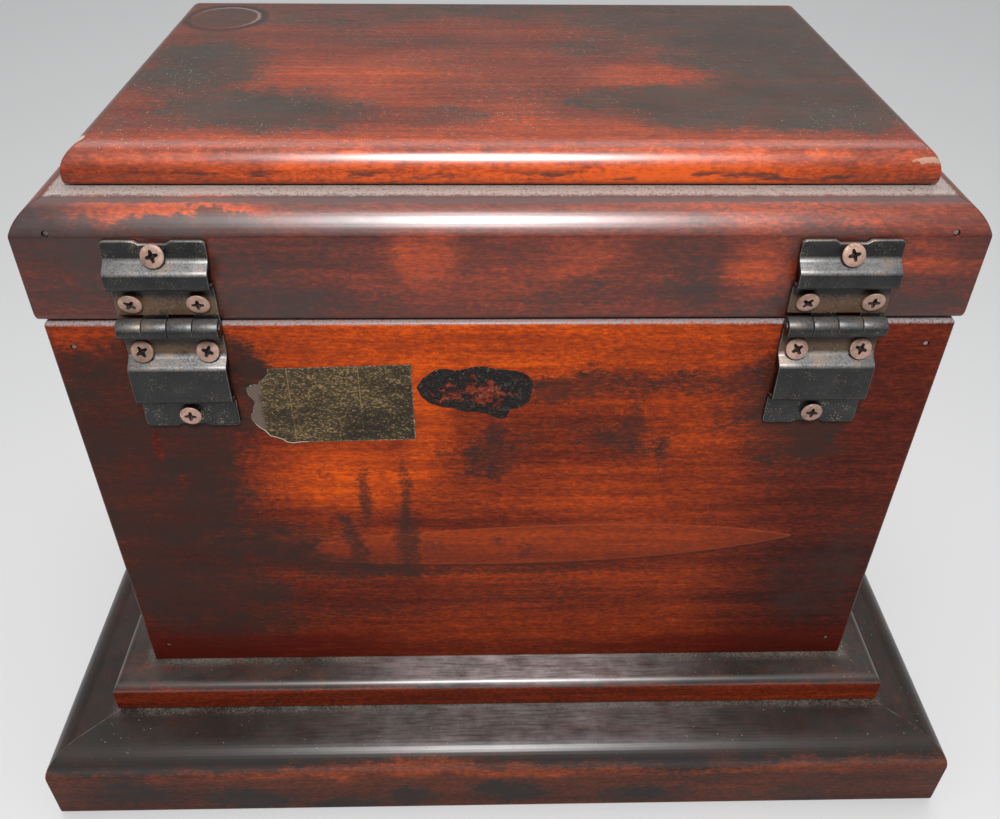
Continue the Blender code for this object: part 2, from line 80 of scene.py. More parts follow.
def calc(operation, *values, clamp=False):
    inputs = dict(enumerate(values))
    return shaderNode("Math", inputs, operation=operation, use_clamp=clamp).outputs[0]


def total(*values):
    result = values[0]
    for value in values[1:]:
        result = calc("ADD", result, value)
    return result


def product(*values):
    result = values[0]
    for value in values[1:]:
        result = calc("MULTIPLY", result, value)
    return result


def centred(value, gain):
    return calc("MULTIPLY_ADD", value, gain, -0.5 * gain)


def vectorCalc(operation, first, second):
    return shaderNode("VectorMath", {0: first, 1: second}, operation=operation).outputs[0]


def softStep(value, low, high):
    step = {"Value": value, "From Min": low, "From Max": high}
    return shaderNode("MapRange", step, interpolation_type="SMOOTHSTEP").outputs["Result"]


def between(value, rise, fall):
    return product(softStep(value, *rise), softStep(value, *fall))


def absolute(value):
    return calc("ABSOLUTE", value)


def mixColour(factor, first, second):
    inputs = {0: factor, 6: first, 7: second}
    return shaderNode("Mix", inputs, data_type="RGBA").outputs[2]


def blended(factor, dark, light):
    return mixColour(factor, (*dark, 1), (*light, 1))


def layOver(colour, tone, *masks):
    # a tone laid over a colour where all the masks meet
    return mixColour(product(*masks), colour, (*tone, 1))


def noiseNode(vector, scale, detail, roughness=0.5):
    inputs = {"Vector": vector, "Scale": scale, "Detail": detail, "Roughness": roughness}
    return shaderNode("TexNoise", inputs)


def noiseOf(vector, scale, detail, roughness=0.5):
    return noiseNode(vector, scale, detail, roughness).outputs[0]


def stretched(vector, factors):
    return vectorCalc("MULTIPLY", vector, factors)


def axesOf(vector):
    return shaderNode("SeparateXYZ", {0: vector}).outputs


def lengthOf(vector):
    return shaderNode("VectorMath", {0: vector}, operation="LENGTH").outputs["Value"]


def bumpOf(height, strength, distance):
    inputs = {"Height": height, "Strength": strength, "Distance": distance}
    return shaderNode("Bump", inputs).outputs[0]


def newGroup(name, vectors, floats, outputs):
    group = bpy.data.node_groups.new(name, "ShaderNodeTree")
    sockets = ((vectors, "INPUT", "Vector"), (floats, "INPUT", "Float"), (outputs, "OUTPUT", "Float"))
    for labels, way, kind in sockets:
        for label in labels:
            group.interface.new_socket(label, in_out=way, socket_type="NodeSocket" + kind)
    return group.nodes.new("NodeGroupInput").outputs, group.nodes.new("NodeGroupOutput")


# shared effects

def makeBlotGroup():
    # one soft-edged oval patch
    given, result = newGroup("stainBlot", ["Vector", "Centre", "Size"], ["Strength"], ["Mask"])
    away = vectorCalc("SUBTRACT", given["Vector"], given["Centre"])
    reach = lengthOf(vectorCalc("DIVIDE", away, given["Size"]))
    mask = product(softStep(reach, 1.45, 0.30), given["Strength"])
    return setInputs(result, {"Mask": mask}).id_data


def makeGrainGroup():
    # streaks, fine hatch, broad figure, smoky clouds, rubbed mottle and thin places of one stained board
    effects = ["Streak", "Hatch", "Figure", "Smoke", "Mottle", "Veil"]
    given, result = newGroup("boardGrain", ["Vector", "Stretch", "Seed"], [], effects)
    place = vectorCalc("ADD", given["Vector"], given["Seed"])
    along = stretched(place, given["Stretch"])
    partway = shaderNode("Mix", {0: 0.34, 4: along, 5: place}, data_type="VECTOR").outputs[1]
    halfway = shaderNode("Mix", {0: 0.55, 4: along, 5: place}, data_type="VECTOR").outputs[1]
    return setInputs(result, {
        "Streak": noiseOf(along, 560, 6.0, 0.70),
        "Hatch": noiseOf(partway, 1650, 5.0, 0.76),
        "Figure": noiseOf(along, 95, 3.0, 0.55),
        "Smoke": noiseOf(halfway, 38, 10.0, 0.66),
        "Mottle": noiseOf(halfway, 330, 6.0, 0.68),
        "Veil": noiseOf(halfway, 95, 6.0, 0.66),
    }).id_data


def makeDustGroup():
    # a thin film and loose specks on whatever faces up
    given, result = newGroup("dustFilm", ["Vector"], ["Up", "Film", "Specks"], ["Film", "Speck"])
    vector = given["Vector"]
    facing = softStep(given["Up"], 0.50, 0.99)
    cloud = softStep(noiseOf(vector, 60, 5.0, 0.65), 0.25, 0.75)
    powder = softStep(noiseOf(vector, 2600, 2.0, 0.6), 0.30, 0.75)
    thick = total(product(cloud, 0.6), product(powder, 0.4))
    film = calc("MULTIPLY", product(thick, facing), given["Film"], clamp=True)
    cells = shaderNode("TexVoronoi", {"Vector": vector, "Scale": 1500.0}, feature="F1")
    lots = shaderNode("SeparateColor", {0: cells.outputs["Color"]}).outputs
    dot = softStep(cells.outputs["Distance"], 0.36, 0.08)
    drift = softStep(noiseOf(vector, 45, 3.0, 0.6), 0.38, 0.66)
    chance = calc("LESS_THAN", lots[0], product(given["Specks"], drift))
    speck = product(dot, chance, facing, lots[1])
    return setInputs(result, {"Film": film, "Speck": speck}).id_data


def makeSteelGroup():
    # rust patches, pale flecks and pitting on old steel
    given, result = newGroup("oldSteel", ["Vector"], ["Rust", "Flecks"], ["Rust", "Fleck", "Pit", "Tone"])
    vector = given["Vector"]
    broad = noiseOf(vector, 150, 5.0, 0.65)
    fine = noiseOf(vector, 1300, 4.0, 0.68)
    rust = softStep(total(broad, centred(fine, 1.2), given["Rust"]), 0.80, 1.25)
    drift = centred(noiseOf(vector, 260, 3.0), 0.5)
    lumps = total(noiseOf(vector, 2300, 2.0, 0.6), drift)
    fleck = product(softStep(lumps, 0.60, 0.74), given["Flecks"])
    pit = noiseOf(vector, 2200, 3.0, 0.6)
    return setInputs(result, {"Rust": rust, "Fleck": fleck, "Pit": pit, "Tone": broad}).id_data


blotGroup = makeBlotGroup()
grainGroup = makeGrainGroup()
dustGroup = makeDustGroup()
steelGroup = makeSteelGroup()
print("shared effects ready")


# materials

coatIor = 1.8  # old thick varnish


def newMaterial(name):
    made = bpy.data.materials.new(name)
    made.use_nodes = True
    nodes = made.node_tree.nodes
    return made, nodes["Principled BSDF"], nodes.new("ShaderNodeTexCoord").outputs


def warped(vector, scale, amount):
    swirl = noiseNode(vector, scale, 4.0, 0.6).outputs[1]
    shift = vectorCalc("SUBTRACT", swirl, (0.5, 0.5, 0.5))
    shift = shaderNode("VectorMath", {0: shift, "Scale": amount}, operation="SCALE").outputs[0]
    return vectorCalc("ADD", vector, shift)


def patch(vector, centre, size, strength):
    inputs = {"Vector": vector, "Centre": Vector(centre) * mm, "Size": Vector(size) * mm, "Strength": strength}
    return useGroup(blotGroup, inputs)["Mask"]


def patches(vector, look, kind):
    # each row is (across, up, half width, half height, strength), in mm on the face that shows
    axis, level = look["plane"]
    depth = look["depth"]
    masks = []
    for across, up, wide, high, strength in look[kind]:
        if axis == "y":
            masks.append(patch(vector, (across, level, up), (wide, depth, high), strength))
        else:
            masks.append(patch(vector, (across, up, level), (wide, high, depth), strength))
    return total(*masks)


def toneRamp(factor, stops):
    made = shaderNode("ValToRGB", {0: factor})
    elements = made.color_ramp.elements
    elements[0].color, elements[-1].color = (*stops[0][1], 1), (*stops[-1][1], 1)
    for position, colour in stops[1:-1]:
        elements.new(position).color = (*colour, 1)
    return made.outputs[0]


def weighed(grain, gains, level):
    # the grain's effects about their middle, each with its own gain
    return total(*[centred(grain[key], gain) for key, gain in gains.items()], level)


# how far the stain's edges wander: noise scale and shift
stainWarps = {
    "cloud": (55, 14 * mm), "cloudEdge": (300, 6 * mm), "run": (400, 2.2 * mm), "smearEdge": (500, 1.4 * mm),
    "smear": (110, 5 * mm),
}


def stainedWood(name, look):
    made, shader, coords = newMaterial(name)
    place = coords["Object"]
    up = axesOf(coords["Normal"])[2]
    grain = useGroup(grainGroup, {"Vector": place, "Stretch": look["stretch"], "Seed": look["seed"]})
    dust = useGroup(dustGroup, {"Vector": place, "Up": up, "Film": look["film"], "Specks": look["specks"]})
    film, speck = dust["Film"], dust["Speck"]

    # how bright the stain is and where it is smoky
    brightness = {"Figure": look["figure"], "Streak": 0.6, "Hatch": -1.05, "Mottle": 0.35}
    tone = weighed(grain, brightness, look["tone"])
    clouds = {"Smoke": look["clouds"], "Hatch": look["hatch"], "Mottle": 0.9}
    smoke = weighed(grain, clouds, look["smokeLevel"])
    if "upSmoke" in look:
        smoke = total(smoke, product(calc("MAXIMUM", up, 0.0), look["upSmoke"]))
    if "shades" in look:
        bent = warped(warped(place, *stainWarps["cloud"]), *stainWarps["cloudEdge"])
        tone = total(tone, patches(bent, look, "shades"))
        smoke = total(smoke, patches(bent, look, "smokes"))
    if "runs" in look:
        smoke = total(smoke, patches(warped(place, *stainWarps["run"]), look, "runs"))
    smoke = softStep(smoke, 0.25, 0.80)

    colour = toneRamp(tone, look["tones"])
    for mark in look.get("figureMarks", ()):
        colour = mark(place, colour)
    depth = weighed(grain, {"Mottle": 0.9, "Veil": look["veil"]}, look["smokeDepth"])
    colour = layOver(colour, look["smoke"], calc("MULTIPLY", smoke, depth, clamp=True))
    if "smears" in look:
        # rubbed marks with an edge of their own
        near = warped(warped(place, *stainWarps["smearEdge"]), *stainWarps["smear"])
        smear = weighed(grain, {"Hatch": 1.7, "Mottle": 0.9}, patches(near, look, "smears"))
        colour = layOver(colour, look["smoke"], softStep(smear, 0.10, 0.86), look["smearDepth"])
    colour = layOver(colour, look["dustColour"], film)
    colour = layOver(colour, look["speckColour"], speck)
    for mark in look["marks"]:
        colour = mark(place, colour)

    rough = weighed(grain, {"Smoke": 0.3, "Mottle": 0.3}, look["roughness"])
    rough = calc("ADD", rough, product(film, 0.45), clamp=True)
    # handling has polished the rounded edges more than the flats
    flat = product(softStep(up, 0.92, 0.995), -0.9)
    edge = product(softStep(up, 0.10, 0.42), total(flat, 1.0))
    coat = product(calc("SUBTRACT", 1.0, film, clamp=True), edge, look["coat"])
    height = total(product(grain["Streak"], 0.6), product(grain["Hatch"], 0.35), product(speck, 0.7))
    setInputs(shader, {
        "Base Color": colour, "Roughness": rough, "Coat Weight": coat, "Coat Roughness": look["coatRough"],
        "Coat IOR": coatIor, "Specular IOR Level": look["gloss"], "Normal": bumpOf(height, 0.16, 0.2 * mm),
    })
    return made


lensShape = {
    "middle": -15.1 * mm, "halfLength": 72.4 * mm, "halfHeight": 7.7 * mm, "level": 92.3 * mm, "slope": 0.0387,
    "blunt": -0.27, "power": 0.60, "face": 75 * mm, "heart": (0.262, 0.043, 0.014),
    "outline": (0.33, 0.062, 0.020), "shadow": (0.040, 0.011, 0.008),
}


def lensMark(place, colour):
    # long leaf shape of the flat-sawn figure, blunt at one end, with a dark lower line
    shape = lensShape
    x, y, z = axesOf(place)
    along = calc("DIVIDE", total(x, -shape["middle"]), shape["halfLength"])
    swell = calc("SUBTRACT", 1.0, product(along, along), clamp=True)
    swell = calc("POWER", swell, total(product(along, shape["blunt"]), shape["power"]))
    line = total(z, product(x, shape["slope"]), -shape["level"])
    inset = calc("SUBTRACT", product(swell, shape["halfHeight"]), absolute(line))
    onFace = product(calc("GREATER_THAN", y, shape["face"]), calc("GREATER_THAN", swell, 0.0))
    inside = product(softStep(inset, -0.1 * mm, 0.3 * mm), onFace)
    edge = softStep(absolute(total(inset, 0.5 * mm)), 1.2 * mm, 0.1 * mm)
    under = product(edge, softStep(line, 0.5 * mm, -1.5 * mm), onFace)
    outline = product(softStep(absolute(inset), 0.42 * mm, 0.06 * mm), onFace)
    colour = layOver(colour, shape["heart"], inside, 0.32)
    colour = layOver(colour, shape["outline"], outline, 0.55)
    return layOver(colour, shape["shadow"], under, 0.5)


def pastEdges(place, halfX, halfY):
    # how far a point lies outside a rectangle, along x and along y
    x, y = axesOf(place)[:2]
    return [total(absolute(axis), -half) for axis, half in ((x, halfX), (y, halfY))]


def rimMark(level, spread, pale, amount, outer=None):
    # dusty grey strip on an upper edge, fading inward where the outer half sizes are given
    def mark(place, colour):
        z = axesOf(place)[2]
        wavy = total(z, centred(noiseOf(place, 500, 4.0, 0.6), 0.8 * spread))
        band = softStep(wavy, level - spread, level)
        broken = softStep(noiseOf(place, 1700, 4.0, 0.7), 0.28, 0.66)
        if outer:
            inward = calc("MAXIMUM", *pastEdges(place, *outer))
            inward = total(inward, centred(noiseOf(place, 160, 4.0, 0.6), 3 * mm))
            band = product(band, softStep(inward, -5.5 * mm, -2 * mm))
        return layOver(colour, pale, band, broken, amount)
    return mark


ledgeBand = {"rise": (201.8 * mm, 202.1 * mm), "fall": (202.8 * mm, 202.55 * mm)}


def ledgeLine(place, colour):
    # dark line just under the dust on the lid's ledge
    z = axesOf(place)[2]
    wavy = total(z, centred(noiseOf(place, 400, 4.0, 0.6), 0.5 * mm))
    return layOver(colour, (0.050, 0.010, 0.006), between(wavy, **ledgeBand), 0.85)


footShape = {
    "top": (56 * mm, 49 * mm), "ends": (15 * mm, 62 * mm), "middle": -6 * mm, "footRed": (0.066, 0.0070, 0.004),
}


def footMark(place, colour):
    # deep red laid along the foot of the board, thinner in the middle
    axes = axesOf(place)
    shifted = total(axes[2], centred(noiseOf(place, 45, 4.0), 9 * mm))
    aside = softStep(absolute(total(axes[0], -footShape["middle"])), *footShape["ends"])
    grained = noiseOf(stretched(place, (0.1, 1.0, 1.0)), 700, 5.0, 0.7)
    return layOver(colour, footShape["footRed"], softStep(shifted, *footShape["top"]),
                   total(product(aside, 0.65), 0.2), softStep(grained, 0.22, 0.58))


dustAndSheenTones = {"heap": (0.27, 0.235, 0.20), "veil": (0.36, 0.305, 0.30), "seam": (0.26, 0.225, 0.19)}


def cornerDust(halfX, halfY, reach, amount):
    # dust that gathers where an upper piece stands
    def mark(place, colour):
        band = softStep(calc("MAXIMUM", *pastEdges(place, halfX, halfY)), reach, 0.0)
        drift = centred(noiseOf(place, 70, 4.0), 0.8)
        powder = softStep(total(noiseOf(place, 1500, 3.0, 0.65), drift), 0.36, 0.80)
        return layOver(colour, dustAndSheenTones["heap"], band, powder, amount)
    return mark


def paleVeil(level, reach, amount):
    # thin greyish film on the upper faces, strongest in the middle: partly dust, partly a painted sheen where
    # the lamp reflects
    def mark(place, colour):
        axes = axesOf(place)
        high = softStep(axes[2], level - 2.4 * mm, level)
        middle = softStep(absolute(total(axes[0], 6 * mm)), reach, 0.1 * reach)
        cloud = total(centred(noiseOf(place, 120, 5.0, 0.65), 1.6), 0.6)
        brushed = noiseOf(stretched(place, (0.08, 1.0, 1.0)), 1100, 5.0, 0.70)
        veil = product(high, middle, cloud, amount)
        veil = calc("MULTIPLY", veil, softStep(brushed, 0.18, 0.66), clamp=True)
        return layOver(colour, dustAndSheenTones["veil"], veil)
    return mark


def mitreLine(cornerX, cornerY, amount):
    # dust caught in the open line of a mitre
    def mark(place, colour):
        awayX, awayY = pastEdges(place, cornerX, cornerY)
        gap = absolute(calc("SUBTRACT", awayX, awayY))
        line = softStep(gap, 0.30 * mm, 0.08 * mm)
        line = product(line, calc("GREATER_THAN", awayX, -40 * mm))
        broken = softStep(noiseOf(place, 260, 4.0, 0.6), 0.32, 0.60)
        return layOver(colour, dustAndSheenTones["seam"], line, broken, amount)
    return mark


dashBand = {"rise": (204.2 * mm, 205.2 * mm), "fall": (208.2 * mm, 206.2 * mm)}


def dashMark(place, colour):
    # dark rubs along the lower edge of the bullnose
    band = between(axesOf(place)[2], **dashBand)
    dash = softStep(noiseOf(stretched(place, (0.22, 0.22, 1.0)), 330, 5.0, 0.65), 0.50, 0.62)
    return layOver(colour, (0.030, 0.014, 0.012), band, dash, 0.80)


ringShape = {
    "centre": (87.5, -43, 212.7), "size": (11, 12, 4), "halo": (0.022, 0.014, 0.012),
    "disc": (0.055, 0.032, 0.020), "line": (0.33, 0.31, 0.29),
}


def ringMark(place, colour):
    # old ring from a wet glass
    away = vectorCalc("SUBTRACT", place, Vector(ringShape["centre"]) * mm)
    away = vectorCalc("DIVIDE", away, Vector(ringShape["size"]) * mm)
    reach = total(lengthOf(away), centred(noiseOf(place, 300, 3.0), 0.10))
    side = softStep(total(*axesOf(away)[:2]), 1.2, -0.9)
    halo = softStep(absolute(total(reach, -1.12)), 0.22, 0.02)
    line = softStep(absolute(total(reach, -0.97)), 0.07, 0.015)
    colour = layOver(colour, ringShape["halo"], halo, 0.75)
    colour = layOver(colour, ringShape["disc"], softStep(reach, 1.0, 0.85), 0.60)
    return layOver(colour, ringShape["line"], line, side, 0.50)


chipTone = (0.66, 0.55, 0.40)
# centre and half sizes in mm, and how bare the wood is
chipRows = [
    ((102.4, 57.6, 211.3), (3.2, 3.0, 2.6), 1.0), ((-102.6, -8.0, 211.2), (1.8, 2.4, 1.4), 1.0),
    ((-101.4, 65.0, 209.6), (5.0, 2.2, 1.0), 0.35),
]


def chipMarks(place, colour):
    # bare wood where the finish has broken off
    torn = warped(place, 700, 1.6 * mm)
    for centre, size, amount in chipRows:
        bare = softStep(patch(torn, centre, size, 1.0), 0.45, 0.62)
        colour = layOver(colour, chipTone, bare, amount)
    return colour


woodTones = {
    "tones": [(0.0, (0.018, 0.0050, 0.0040)), (0.2, (0.050, 0.0080, 0.0045)), (0.4, (0.104, 0.0140, 0.0055)),
              (0.6, (0.195, 0.0260, 0.0065)), (0.8, (0.360, 0.0460, 0.0055)), (1.0, (0.640, 0.0860, 0.0040))],
    "smoke": (0.034, 0.0165, 0.0130), "smokeDepth": 0.84, "hatch": 1.15, "coatRough": 0.26, "veil": 0.9,
    "dustColour": (0.30, 0.26, 0.22), "speckColour": (0.46, 0.39, 0.30),
}
alongX = (0.05, 1, 1)
alongY = (1, 0.05, 1)
bodyRim = rimMark(171.6 * mm, 0.7 * mm, (0.265, 0.235, 0.23), 1.6, outer=(115 * mm, 76.1 * mm))
lidLedge = rimMark(203.05 * mm, 0.45 * mm, (0.37, 0.315, 0.285), 1.9)

backBoardLook = {
    **woodTones, "stretch": alongX, "seed": (0.0, 0.0, 0.0), "film": 0.0, "specks": 0.0, "roughness": 0.38,
    "coat": 0.1, "gloss": 0.08, "figure": 0.5, "tone": 0.58, "clouds": 1.2, "smokeLevel": 0.14,
    "smokeDepth": 0.78, "veil": 2.0, "smearDepth": 0.78, "plane": ("y", 76.1), "depth": 16,
    # rows of negative strength at both ends and along the foot make the board darker towards its sides and
    # bottom
    "shades": [
        (8, 167, 80, 12, 0.24), (45, 122, 25, 14, 0.22), (20, 140, 8, 20, 0.20), (-15, 109, 36, 12, 0.08),
        (-50, 137, 20, 12, 0.08), (-15, 84, 62, 5, -0.10), (8, 102.6, 38, 4, -0.14), (4, 113, 22, 11, -0.10),
        (45, 74, 30, 18, -0.18), (-106, 95, 36, 95, -0.30), (-100, 66, 36, 34, -0.14),
        (110, 105, 46, 95, -0.30), (108, 168, 13, 6, 0.22), (-20, 134, 24, 9, -0.08), (0, 40, 130, 9, -0.10),
    ],
    "smokes": [
        (98, 142, 32, 36, 0.62), (95, 97, 30, 36, 0.62), (92, 64, 32, 18, 0.70), (70, 152, 10, 14, 0.50),
        (59, 93, 15, 9, 0.60), (44, 83, 20, 6, 0.40), (-79, 150, 20, 20, 0.75), (-84, 128, 16, 14, 0.55),
        (-108, 92, 10, 15, 0.30), (-100, 70, 20, 18, 0.30), (-22, 153, 17, 6, 0.48), (-50, 154, 15, 6, 0.36),
        (-12, 150, 6, 5, 0.50), (-20, 135, 22, 9, 0.34), (68, 161, 8, 11, 0.40), (2, 127, 9, 8, 0.24),
        (10, 72, 60, 14, 0.12), (8, 166, 75, 10, -0.25), (108, 169, 14, 5, -0.4), (6, 126, 12, 8, 0.34),
        (-34, 131, 13, 8, 0.36), (-95, 76, 16, 14, 0.16), (3, 68, 17, 5, 0.26), (21, 62, 16, 5, 0.26),
        (44, 64, 14, 6, 0.26),
    ],
    "runs": [
        (-8, 90.5, 9, 5, 0.26), (-23.3, 109, 1.6, 6, 0.34), (2, 136, 3, 7, 0.34), (-58, 133, 1.3, 14, 0.24),
        (-45, 128, 2.4, 11, 0.30), (-36, 141, 3, 8, 0.26), (94.6, 131, 1.4, 6.5, -0.80),
        (90.3, 120, 1.3, 3.6, -0.70), (68.5, 148, 3.7, 13, 0.25), (50, 91.6, 6, 3, -0.45),
    ],
    "smears": [
        (28.0, 118, 2.1, 12, 0.58), (28.2, 96, 4.6, 16, 0.85), (39.2, 115, 2.1, 11, 0.74),
        (40.5, 103, 3.6, 10, 0.42), (46, 101, 3.2, 5, 0.46), (45.2, 95.5, 2.7, 5, 0.56),
        (43.5, 88, 3.4, 7, 0.52), (42, 82, 21, 3.6, 0.50), (6, 81.4, 28, 2.6, 0.52), (-30, 82, 22, 2.2, 0.34),
        (50.5, 121, 2.8, 2.6, 0.44), (47.5, 104.5, 4, 2.4, 0.50), (0.3, 94.5, 2.0, 2.6, 0.52),
        (-6.6, 90.2, 2.7, 5.4, 0.44), (20, 92, 3.8, 3.6, 0.34), (17, 129.5, 3, 1.6, 0.44),
        (2, 124.5, 1.6, 8, 0.40), (12, 121, 3.6, 2.2, 0.38),
    ],
    "figureMarks": [lensMark], "marks": [footMark, bodyRim],
}
lidBackLook = {
    **woodTones, "stretch": alongX, "seed": (0.3, 0.1, 0.2), "film": 0.08, "specks": 0.02, "roughness": 0.36,
    "coat": 0.58, "coatRough": 0.34, "gloss": 0.50, "figure": 0.7, "tone": 0.39, "clouds": 1.8,
    "smokeLevel": 0.30, "plane": ("y", 76.1), "depth": 26,
    "shades": [
        (20, 191, 9, 6, 0.36), (2, 186, 13, 7, 0.16), (-20, 190, 11, 5, 0.26), (-62, 187, 10, 9, 0.34),
        (-102, 190, 10, 6, 0.24), (29, 183, 13, 7, 0.10), (105, 186, 24, 16, -0.06), (45, 177, 22, 5, -0.12),
        (-50, 181, 15, 6, -0.10), (60, 185, 15, 9, -0.06), (-90, 177, 26, 5, -0.12), (0, 200, 70, 5, 0.14),
        # the row at 111 across darkens the far end of the shoulder: painted shade
        (80, 200.6, 28, 3.6, 0.55), (-70, 200, 30, 4, 0.22), (111, 199, 10, 8, -0.22),
    ],
    "smokes": [
        (106, 186, 18, 14, 0.35), (72, 198.0, 15, 2.6, 0.60), (58, 184, 15, 10, 0.22), (-45, 186, 11, 10, 0.24),
        (43, 177, 20, 4, 0.25), (-66, 175, 12, 4, 0.25), (-104, 178, 12, 6, 0.25), (84, 186, 18, 15, 0.30),
        (-84, 186, 18, 15, 0.30), (-20, 181, 15, 7, 0.10), (80, 201.5, 26, 2, -0.40), (-62, 187, 10, 8, -0.2),
        (20, 191, 9, 6, -0.2),
    ],
    "marks": [ledgeLine, lidLedge],
}
topBoardLook = {
    **woodTones, "stretch": alongX, "seed": (0.7, 0.4, 0.0), "film": 0.08, "specks": 0.30, "roughness": 0.34,
    "coat": 0.66, "coatRough": 0.28, "gloss": 0.50, "figure": 0.5, "tone": 0.56, "clouds": 1.4,
    "smokeLevel": 0.34, "smoke": (0.034, 0.0250, 0.0170), "plane": ("z", 212.7), "depth": 20,
    "shades": [
        (-3, 60, 100, 9, 0.17), (48, 11, 26, 14, 0.18), (20, 5, 18, 14, 0.12), (-42, 12, 20, 10, 0.16),
        (-2, 44, 12, 10, 0.16), (30, 27, 14, 7, 0.14), (-90, 0, 26, 70, -0.12), (95, -5, 20, 40, -0.08),
        (0, 66, 110, 4, 0.32),
    ],
    "smokes": [
        (58, 38, 28, 15, 0.60), (84, 6, 18, 28, 0.55), (-62, 36, 44, 16, 0.70), (-80, 0, 26, 42, 0.62),
        (-70, -34, 36, 26, 0.58), (0, -52, 110, 16, 0.42), (30, -18, 24, 9, 0.20), (-26, -8, 12, 10, 0.20),
        (14, 42, 10, 8, 0.24), (-3, 62, 100, 8, -0.50), (40, 10, 26, 10, -0.20), (-42, 12, 18, 8, -0.22),
    ],
    "marks": [dashMark, ringMark, chipMarks],
}
plainLook = {
    **woodTones, "film": 0.08, "specks": 0.05, "roughness": 0.36, "coat": 0.5, "gloss": 0.35, "figure": 0.6,
    "tone": 0.52, "clouds": 1.8, "smokeLevel": 0.32,
}
baseLook = {
    **woodTones, "smoke": (0.021, 0.0172, 0.0158), "smokeDepth": 0.92, "film": 0.06, "specks": 0.06,
    "roughness": 0.38, "coat": 0.38, "coatRough": 0.31, "gloss": 0.10, "figure": 0.6, "tone": 0.34,
    "clouds": 1.6, "smokeLevel": 0.22, "upSmoke": 0.90,
    "tones": [(0.0, (0.016, 0.0070, 0.0055)), (0.2, (0.046, 0.0120, 0.0070)), (0.4, (0.092, 0.0220, 0.0105)),
              (0.6, (0.165, 0.0345, 0.0130)), (0.8, (0.310, 0.0540, 0.0110)), (1.0, (0.560, 0.0880, 0.0080))],
}
plinthLook = {
    **baseLook, "plane": ("y", 107.1), "depth": 30,
    "shades": [
        (0, 21, 150, 3.6, 0.20), (30, 21, 60, 3.4, 0.12), (-120, 8, 30, 10, -0.10), (120, 8, 30, 10, -0.10),
    ],
    "smokes": [
        (83, 6, 15, 7, 0.75), (51, 3, 13, 4, 0.60), (28, 7, 9, 7, 0.65), (-3, 9, 14, 7, 0.60),
        (-45, 6, 20, 5, 0.50), (-92, 5, 22, 5, 0.48), (120, 11, 16, 7, 0.35),
    ],
}
plinthDust = cornerDust(126.3 * mm, 87.4 * mm, 3.5 * mm, 0.55)
stepDust = cornerDust(115 * mm, 76.1 * mm, 4 * mm, 0.6)
plinthMitre = mitreLine(146 * mm, 107.1 * mm, 0.6)
plinthDustSheen = paleVeil(28 * mm, 100 * mm, 0.55)
stepDustSheen = paleVeil(39.8 * mm, 72 * mm, 1.45)
baseBoardLook = {**baseLook, "coat": 0.8, "film": 0.16, "tones": woodTones["tones"], "tone": 0.46}


def boardWood(name, look, stretch, seed, *marks):
    return stainedWood(name, {**look, "stretch": stretch, "seed": seed, "marks": marks})


plinthMarks = [plinthDust, plinthMitre]
finishes = {
    "backBoard": stainedWood("backBoardWood", backBoardLook),
    "longBoard": boardWood("frontBoardWood", plainLook, alongX, (0.2, 0.9, 0.4), bodyRim),
    "sideBoard": boardWood("sideBoardWood", plainLook, alongY, (0.5, 0.2, 0.8), bodyRim),
    "lidBack": stainedWood("lidBackWood", lidBackLook),
    "lidLong": boardWood("lidFrontWood", plainLook, alongX, (0.1, 0.6, 0.3), lidLedge),
    "lidSide": boardWood("lidSideWood", plainLook, alongY, (0.9, 0.3, 0.1), lidLedge),
    "topBoard": stainedWood("topBoardWood", topBoardLook),
    "plinthLong": boardWood("plinthLongWood", plinthLook, alongX, (0.4, 0.1, 0.7), plinthDustSheen, *plinthMarks),
    "plinthSide": boardWood("plinthSideWood", baseLook, alongY, (0.8, 0.5, 0.2), *plinthMarks),
    "baseBoard": boardWood("baseBoardWood", baseBoardLook, alongX, (0.6, 0.7, 0.9), stepDustSheen, stepDust),
}

blockTones = {"dark": (0.30, 0.17, 0.08), "light": (0.52, 0.36, 0.21), "blotch": (0.20, 0.115, 0.055)}


def bareWood(name):
    made, shader, coords = newMaterial(name)
    upright = {"Vector": coords["Object"], "Stretch": (1, 1, 0.06), "Seed": (0.2, 0.2, 0.2)}
    grain = useGroup(grainGroup, upright)
    colour = blended(grain["Streak"], blockTones["dark"], blockTones["light"])
    colour = layOver(colour, blockTones["blotch"], softStep(grain["Mottle"], 0.55, 0.75))
    bump = bumpOf(grain["Streak"], 0.35, 0.3 * mm)
    setInputs(shader, {"Base Color": colour, "Normal": bump, "Roughness": 0.75})
    return made


rubSheenShadeTones = {"grey": (0.275, 0.268, 0.265), "brown": (0.38, 0.285, 0.22), "paintedShadow": (0.004, 0.0035, 0.003)}
# where the hinge's wear, painted sheen and painted shadow change: distance from the pin, height of the tab,
# height above the wood
wearSheenShadeZones = {
    "nearPin": {"rise": (11 * mm, 7 * mm), "fall": (2.7 * mm, 3.4 * mm)}, "knuckle": (3.4 * mm, 2.8 * mm),
    "tab": (148 * mm, 146 * mm), "flat": (woodFace + 2.4 * mm, woodFace + 1.7 * mm),
}


